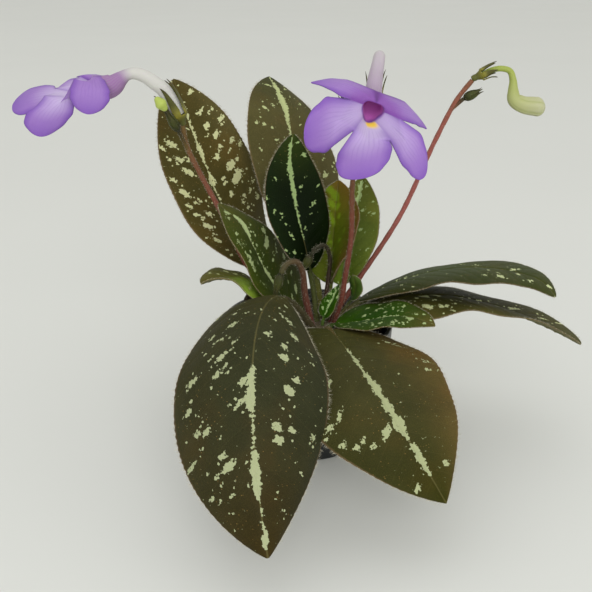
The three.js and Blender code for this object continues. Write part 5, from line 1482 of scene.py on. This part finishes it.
def even_curve(through, count):
    """Points at even distances along the smooth curve through points."""
    fine = curve_at(through, np.linspace(0, 1, 400))
    run = np.concatenate([[0], np.cumsum(np.linalg.norm(np.diff(fine, axis=0), axis=1))])
    places = np.linspace(0, run[-1], count)
    return np.stack([np.interp(places, run, fine[:, i]) for i in range(3)], 1)


def open_calyx(bundle, flower, spread, reach, width, first):
    """A cup at the foot of a flower's tube and five narrow sepals that stand along it."""
    points, along, across, up, radii = [f[0] for f in tube_frames(flower, 0)]
    outer = radii + 0.35 + CALYX_GAP
    cup = [points - along * d for d in (4.6, 3.6, 2.6, 1.6, 0.9, CALYX_GAP)]
    bundle.bar(cup, [1.1, 1.35, outer * 0.72, outer * 0.93, outer + 0.2, outer + 0.6],
               eased([STALK_GREEN, SEPAL_GREEN, CALYX_LIME], 6), 20)
    for k in range(SEPALS):
        turn = math.radians(first + 360 / SEPALS * k)
        shares = np.linspace(0, 1, 14)
        centre, _, side, lift, radius = tube_frames(flower, shares * reach)
        out = side * math.cos(turn) + lift * math.sin(turn)
        distance = np.maximum(radius, radii) + 0.35 + 0.95 + spread * shares**2
        spine = centre + out * distance[:, None]
        spine[0] -= along * 0.6
        narrow = width * (1 - shares) ** 0.8 * np.minimum(1, 0.7 + 2 * shares) + 0.06
        broad = np.cross(out, unit(np.gradient(spine, axis=0)))
        tones = np.repeat(eased([CALYX_LIME, SEPAL_GREEN, SEPAL_GREEN, SEPAL_TIP], 14), SEPAL_SIDES, axis=0)
        bundle.gather(*blade_bar(spine, broad, out, narrow, 0.24), tones)


def blade_bar(spine, side, out, widths, thick):
    """A narrow pointed blade along a spine: a flattened bar of ten-sided rings."""
    turns = np.linspace(0, 2 * np.pi, SEPAL_SIDES, endpoint=False)[:, None]
    rings = [p + np.cos(turns) * s * w + np.sin(turns) * o * min(thick, w * 0.8)
             for p, s, o, w in zip(spine, unit(side), unit(out), widths)]
    return np.vstack(rings), capped_faces(len(spine), SEPAL_SIDES)


def closed_calyx(bundle, start, end, radius):
    """Five sepals folded shut over a bud too young to show, with their points standing off."""
    start, axis = np.array(start, float), np.array(end, float) - np.array(start, float)
    shares = np.array([0, 0.08, 0.18, 0.3, 0.45, 0.6, 0.72, 0.8, 0.85])
    swell = [0.9, *radius * np.array([0.75, 0.9, 1, 0.97, 0.8, 0.55, 0.36, 0.15])]
    bundle.bar([start + axis * s for s in shares], swell,
               eased([YOUNG_GREEN, FOLDED_GREEN, YOUNG_GREEN], 9), 16)
    along = unit(axis)
    across = unit(np.cross((0.3, 1, 0.2), along))
    other = np.cross(along, across)
    for k in range(SEPALS):
        turn = math.radians(360 / SEPALS * k + 20)
        out = across * math.cos(turn) + other * math.sin(turn)
        reach = np.array([0.05, 0.15, 0.3, 0.45, 0.6, 0.75, 0.9, 1.05])
        off = radius * np.array([0.62, 0.9, 1.02, 1.0, 0.84, 0.6, 0.45, 0.55])
        spine = start + axis * reach[:, None] + out * off[:, None]
        widths = radius * np.array([0.2, 0.4, 0.5, 0.5, 0.42, 0.3, 0.2, 0.05])
        broad, outwards = [np.tile(v, (8, 1)) for v in (np.cross(along, out), out)]
        tones = np.repeat(eased([YOUNG_GREEN, FOLDED_GREEN, SEPAL_TIP], 8), SEPAL_SIDES, axis=0)
        bundle.gather(*blade_bar(spine, broad, outwards, widths, 0.22), tones)


wire, sockets, stalk_look = finish(
    "downy_stalk", Specular_IOR_Level=0.2, Sheen_Weight=0.04, Sheen_Roughness=0.5,
    Subsurface_Weight=0.1, Subsurface_Radius=(1.0, 0.6, 0.3), Subsurface_Scale=0.001,
)
tone = wire.attribute("tone", "Color")
place = wire.place()
streaks = wire.noise(place, 700.0, 3.0)
fleck = wire.noise(place, 2400.0, 2.0).between(0.6, 0.8)
skin = wire.mix(streaks.between(0.35, 0.75) * 0.25, tone, (0.045, 0.025, 0.014))
coat(sockets, "Base Color", wire.mix(fleck * 0.12, skin, (0.42, 0.34, 0.25)))
coat(sockets, "Roughness", 0.5 + streaks * 0.15)
coat(sockets, "Normal", (streaks + fleck).bump(0.4, 0.0002))

hair_paths = []
for name, stalk in stalks.items():
    bundle = Bundle()
    line = even_curve(stalk["line"], 110 if stalk["side"] else 46)
    radii = eased(stalk["radii"], len(line)) + 0.06 * np.sin(np.arange(len(line)) * 0.9)
    bundle.bar(line, radii, eased(stalk["tones"], len(line)), 16)
    hair_paths.append((line, radii, 0.9 if stalk["side"] else 1.5))
    if stalk["side"]:
        source = flowers.get(stalk["flower"], BUD)
        open_calyx(bundle, source, *stalk["sepals"])
        side = even_curve(stalk["side"], 12)
        bundle.bar(side, np.full(12, 0.8), eased([stalk["tones"][-1], YOUNG_GREEN], 12), 12)
        hair_paths.append((side, np.full(12, 0.8), 0.8))
        spine = even_curve(stalk["bract"], 10)
        across = np.cross(np.gradient(spine, axis=0), (0.2, -1, 0.3))
        out = np.cross(across, np.gradient(spine, axis=0))
        widths = np.sin(np.pi * (0.2 + 0.8 * np.linspace(0, 1, 10))) ** 0.8 + 0.05
        tones = np.repeat(eased([SEPAL_GREEN, SEPAL_TIP], 10), SEPAL_SIDES, axis=0)
        bundle.gather(*blade_bar(spine, across, out, widths, 0.25), tones)
    closed_calyx(bundle, *stalk["side_bud"], 1.7)
    start, end = np.array(stalk["side_bud"], float)
    hair_paths.append((start + (end - start) * np.linspace(0, 0.8, 10)[:, None],
                       np.array([0.9, 1.4, 1.6, 1.7, 1.7, 1.6, 1.4, 1.1, 0.9, 0.6]), 1.3))
    tones = np.hstack([np.vstack(bundle.tones), np.ones((bundle.count, 1))])
    fine = new_object(name + "_fine", np.vstack(bundle.points), bundle.faces, stalk_look, tone=tones)
    hand_over(fine, name)


# Buds: a full-grown one on the right, still closed, green where it leaves the calyx and cream at
# its hooked head with the lobes' seams showing, and a tiny one at the left-hand flower's side.
shares = np.linspace(0, 1, 90)
centre, along, across, up, radius = tube_frames(BUD, shares)
mouth = centre[-1]
cap = np.array([
    (0.7, 3.9), (1.3, 3.75), (1.9, 3.45), (2.5, 3.0), (3.0, 2.45), (3.4, 1.8), (3.7, 1.1), (3.9, 0.3),
])
centre = np.vstack([centre, mouth + np.stack([cap[:, 0], 0 * cap[:, 0], -0.08 * cap[:, 0]], 1)])
across, up = [np.vstack([v, np.repeat(v[-1:], len(cap), 0)]) for v in (across, up)]
radius = np.concatenate([radius, cap[:, 1]])
turns = np.radians(np.arange(0, 360, 7.5))
share = np.linspace(0, 1, len(radius))
seam = band((turns[None, :] * 5 / (2 * np.pi) + 0.5) % 1 - 0.5, 0.06)
seam = seam * np.clip((share[:, None] - 0.62) / 0.2, 0, 1)
belly = 1 + 0.03 * np.sin(turns[None, :] * 5) * np.clip((share[:, None] - 0.6) / 0.2, 0, 1) - 0.07 * seam
rings = centre[:, None] + (radius[:, None] * belly)[..., None] * (
    np.cos(turns)[None, :, None] * across[:, None] + np.sin(turns)[None, :, None] * up[:, None])
count = len(turns)
stops = [
    (0.20, 0.26, 0.035), (0.27, 0.33, 0.05), (0.30, 0.35, 0.07), (0.34, 0.37, 0.13),
    (0.40, 0.41, 0.20), (0.44, 0.44, 0.29),
]
tones = np.repeat(eased(stops, len(radius)), count, axis=0)
wire, sockets, material = finish(
    "bud_skin", Specular_IOR_Level=0.25, Sheen_Weight=0.03, Sheen_Roughness=0.5,
    Subsurface_Weight=0.15, Subsurface_Radius=(1.0, 0.9, 0.4), Subsurface_Scale=0.0015,
)
tone = wire.attribute("tone", "Color")
place = wire.place()
mottle = wire.noise(place, 420.0, 3.0)
crease = wire.attribute("seam")
skin = wire.mix(mottle * 0.25, tone, (0.34, 0.38, 0.14))
coat(sockets, "Base Color", wire.mix(crease * 0.6, skin, (0.26, 0.30, 0.09)))
coat(sockets, "Roughness", 0.42 + mottle * 0.2)
coat(sockets, "Normal", wire.noise(place, 1800.0, 2.0).bump(0.25, 0.0002))
bud = new_object(
    "bud_right_fine", rings.reshape(-1, 3), capped_faces(len(radius), count), material,
    tone=np.hstack([tones, np.ones((len(tones), 1))]), seam=seam.ravel(),
)
hand_over(bud, "bud_right")
SMALL_BUD_MIDDLE = (-59.6, 6.2, 148.4)
SMALL_BUD_REACH = 3.4
share = np.linspace(-1, 1, 25)
run = np.linspace(-SMALL_BUD_REACH, SMALL_BUD_REACH, 25)[:, None]
path = np.array(SMALL_BUD_MIDDLE) + run * unit(np.array((-0.6, -0.15, 0.8)))
radii = (2.1 + 0.3 * np.cos(4.5 * share)) * np.sqrt(np.clip(1 - share**2, 0.004, 1)) ** 0.8
points, faces = tube(path, radii, 24)
bud = new_object("bud_left_small_fine", points, faces, material,
                 tone=np.tile((0.38, 0.46, 0.09, 1.0), (len(points), 1)), seam=np.zeros(len(points)))
hand_over(bud, "bud_left_small")


# Down: fine pale hairs about a millimetre long that stand off the leaves' margins, the leaf stalks
# and the flower stalks. Each is a three-sided spike, 0.04 mm in radius at its root, where Geometry
# Nodes set it.
HAIR_RADIUS = 0.00004
HAIR_ROWS = 12
wire, sockets, material = finish("pale_down", Roughness=0.6, Specular_IOR_Level=0.2)
thin = wire.noise(wire.place(), 900.0, 2.0)
coat(sockets, "Base Color", wire.mix(thin, (0.30, 0.26, 0.17), (0.66, 0.64, 0.52)))
hair_tree = new_tree("down", {"Hair radius": "Float"})
given = grow_node(hair_tree, "NodeGroupInput")
lean = grow_node(hair_tree, "GeometryNodeInputNamedAttribute", {"Name": "lean"}, data_type="FLOAT_VECTOR")
aim = grow_node(hair_tree, "FunctionNodeAlignRotationToVector", {"Vector": lean["Attribute"]}, axis="Z")
length = grow_node(hair_tree, "ShaderNodeVectorMath", {0: lean["Attribute"]}, operation="LENGTH")
stretch = grow_node(hair_tree, "ShaderNodeCombineXYZ",
                    {"X": given["Hair radius"], "Y": given["Hair radius"], "Z": length["Value"]})
spike = grow_node(hair_tree, "GeometryNodeMeshCone",
                  {"Vertices": 3, "Radius Top": 0.0, "Radius Bottom": 1.0, "Depth": 1.0})
stood = grow_node(hair_tree, "GeometryNodeInstanceOnPoints",
                  {"Points": given["Geometry"], "Instance": spike["Mesh"], "Rotation": aim["Rotation"],
                   "Scale": stretch["Vector"]})
real = grow_node(hair_tree, "GeometryNodeRealizeInstances", {"Geometry": stood["Instances"]})
looked = grow_node(hair_tree, "GeometryNodeSetMaterial",
                   {"Geometry": real["Geometry"], "Material": material})
grow_node(hair_tree, "NodeGroupOutput", {"Geometry": looked["Geometry"]})
dice = np.random.default_rng(12)


def hairs_along(path, sides, per_mm, length, spread):
    """Roots at random places down a line and how each hair leans: about its side, in mm."""
    run = np.concatenate([[0], np.cumsum(np.linalg.norm(np.diff(path, axis=0), axis=1))])
    places = dice.uniform(0, run[-1], int(run[-1] * per_mm))
    roots = np.stack([np.interp(places, run, path[:, i]) for i in range(3)], 1)
    side = np.stack([np.interp(places, run, sides[:, i]) for i in range(3)], 1)
    lean = side + spread * dice.normal(size=side.shape)
    return roots, unit(lean) * (length * dice.uniform(0.5, 1.15, len(lean)))[:, None]


def hairs_round(path, radii, per_mm, length):
    """Hairs all round a bar."""
    path, roots, leans = np.asarray(path, float), [], []
    ahead = unit(np.gradient(path, axis=0))
    first = unit(np.cross(ahead, (0.31, 0.22, 0.92)))
    second = np.cross(ahead, first)
    for turn in np.radians(360 / HAIR_ROWS * np.arange(HAIR_ROWS)):
        out = first * math.cos(turn) + second * math.sin(turn)
        skin = path + out * np.asarray(radii)[:, None] * 0.95
        found = hairs_along(skin, out, per_mm / HAIR_ROWS, length, 0.3)
        roots.append(found[0])
        leans.append(found[1])
    return np.vstack(roots), np.vstack(leans)


leaf_hairs, stalk_hairs = [], []
for top, normal, leaf in sheets:
    for rim, inside in ((0, 2), (-1, -3)):
        out = unit(top[:, rim] - top[:, inside] + 1e-6) + 0.35 * normal[:, rim]
        size = min(1.7, 0.6 + leaf["blade"] * 0.011)
        leaf_hairs.append(hairs_along(top[:, rim], out, 5, size, 0.28))
for path, radii in leaf_stalks:
    leaf_hairs.append(hairs_round(path, radii, 7, 1.0))
for path, radii, size in hair_paths:
    stalk_hairs.append(hairs_round(path, radii, 9 if size < 1.2 else 5, size))
for name, hairs, slot in (("leaf_down", leaf_hairs, "leaf"), ("stalk_down", stalk_hairs, "stalk")):
    roots, leans = [np.vstack(part) for part in zip(*hairs)]
    down = new_object(name, roots, [], material, lean=leans * 0.001)
    apply_tree(down, hair_tree, {"Hair radius": HAIR_RADIUS})
    hand_over(down)
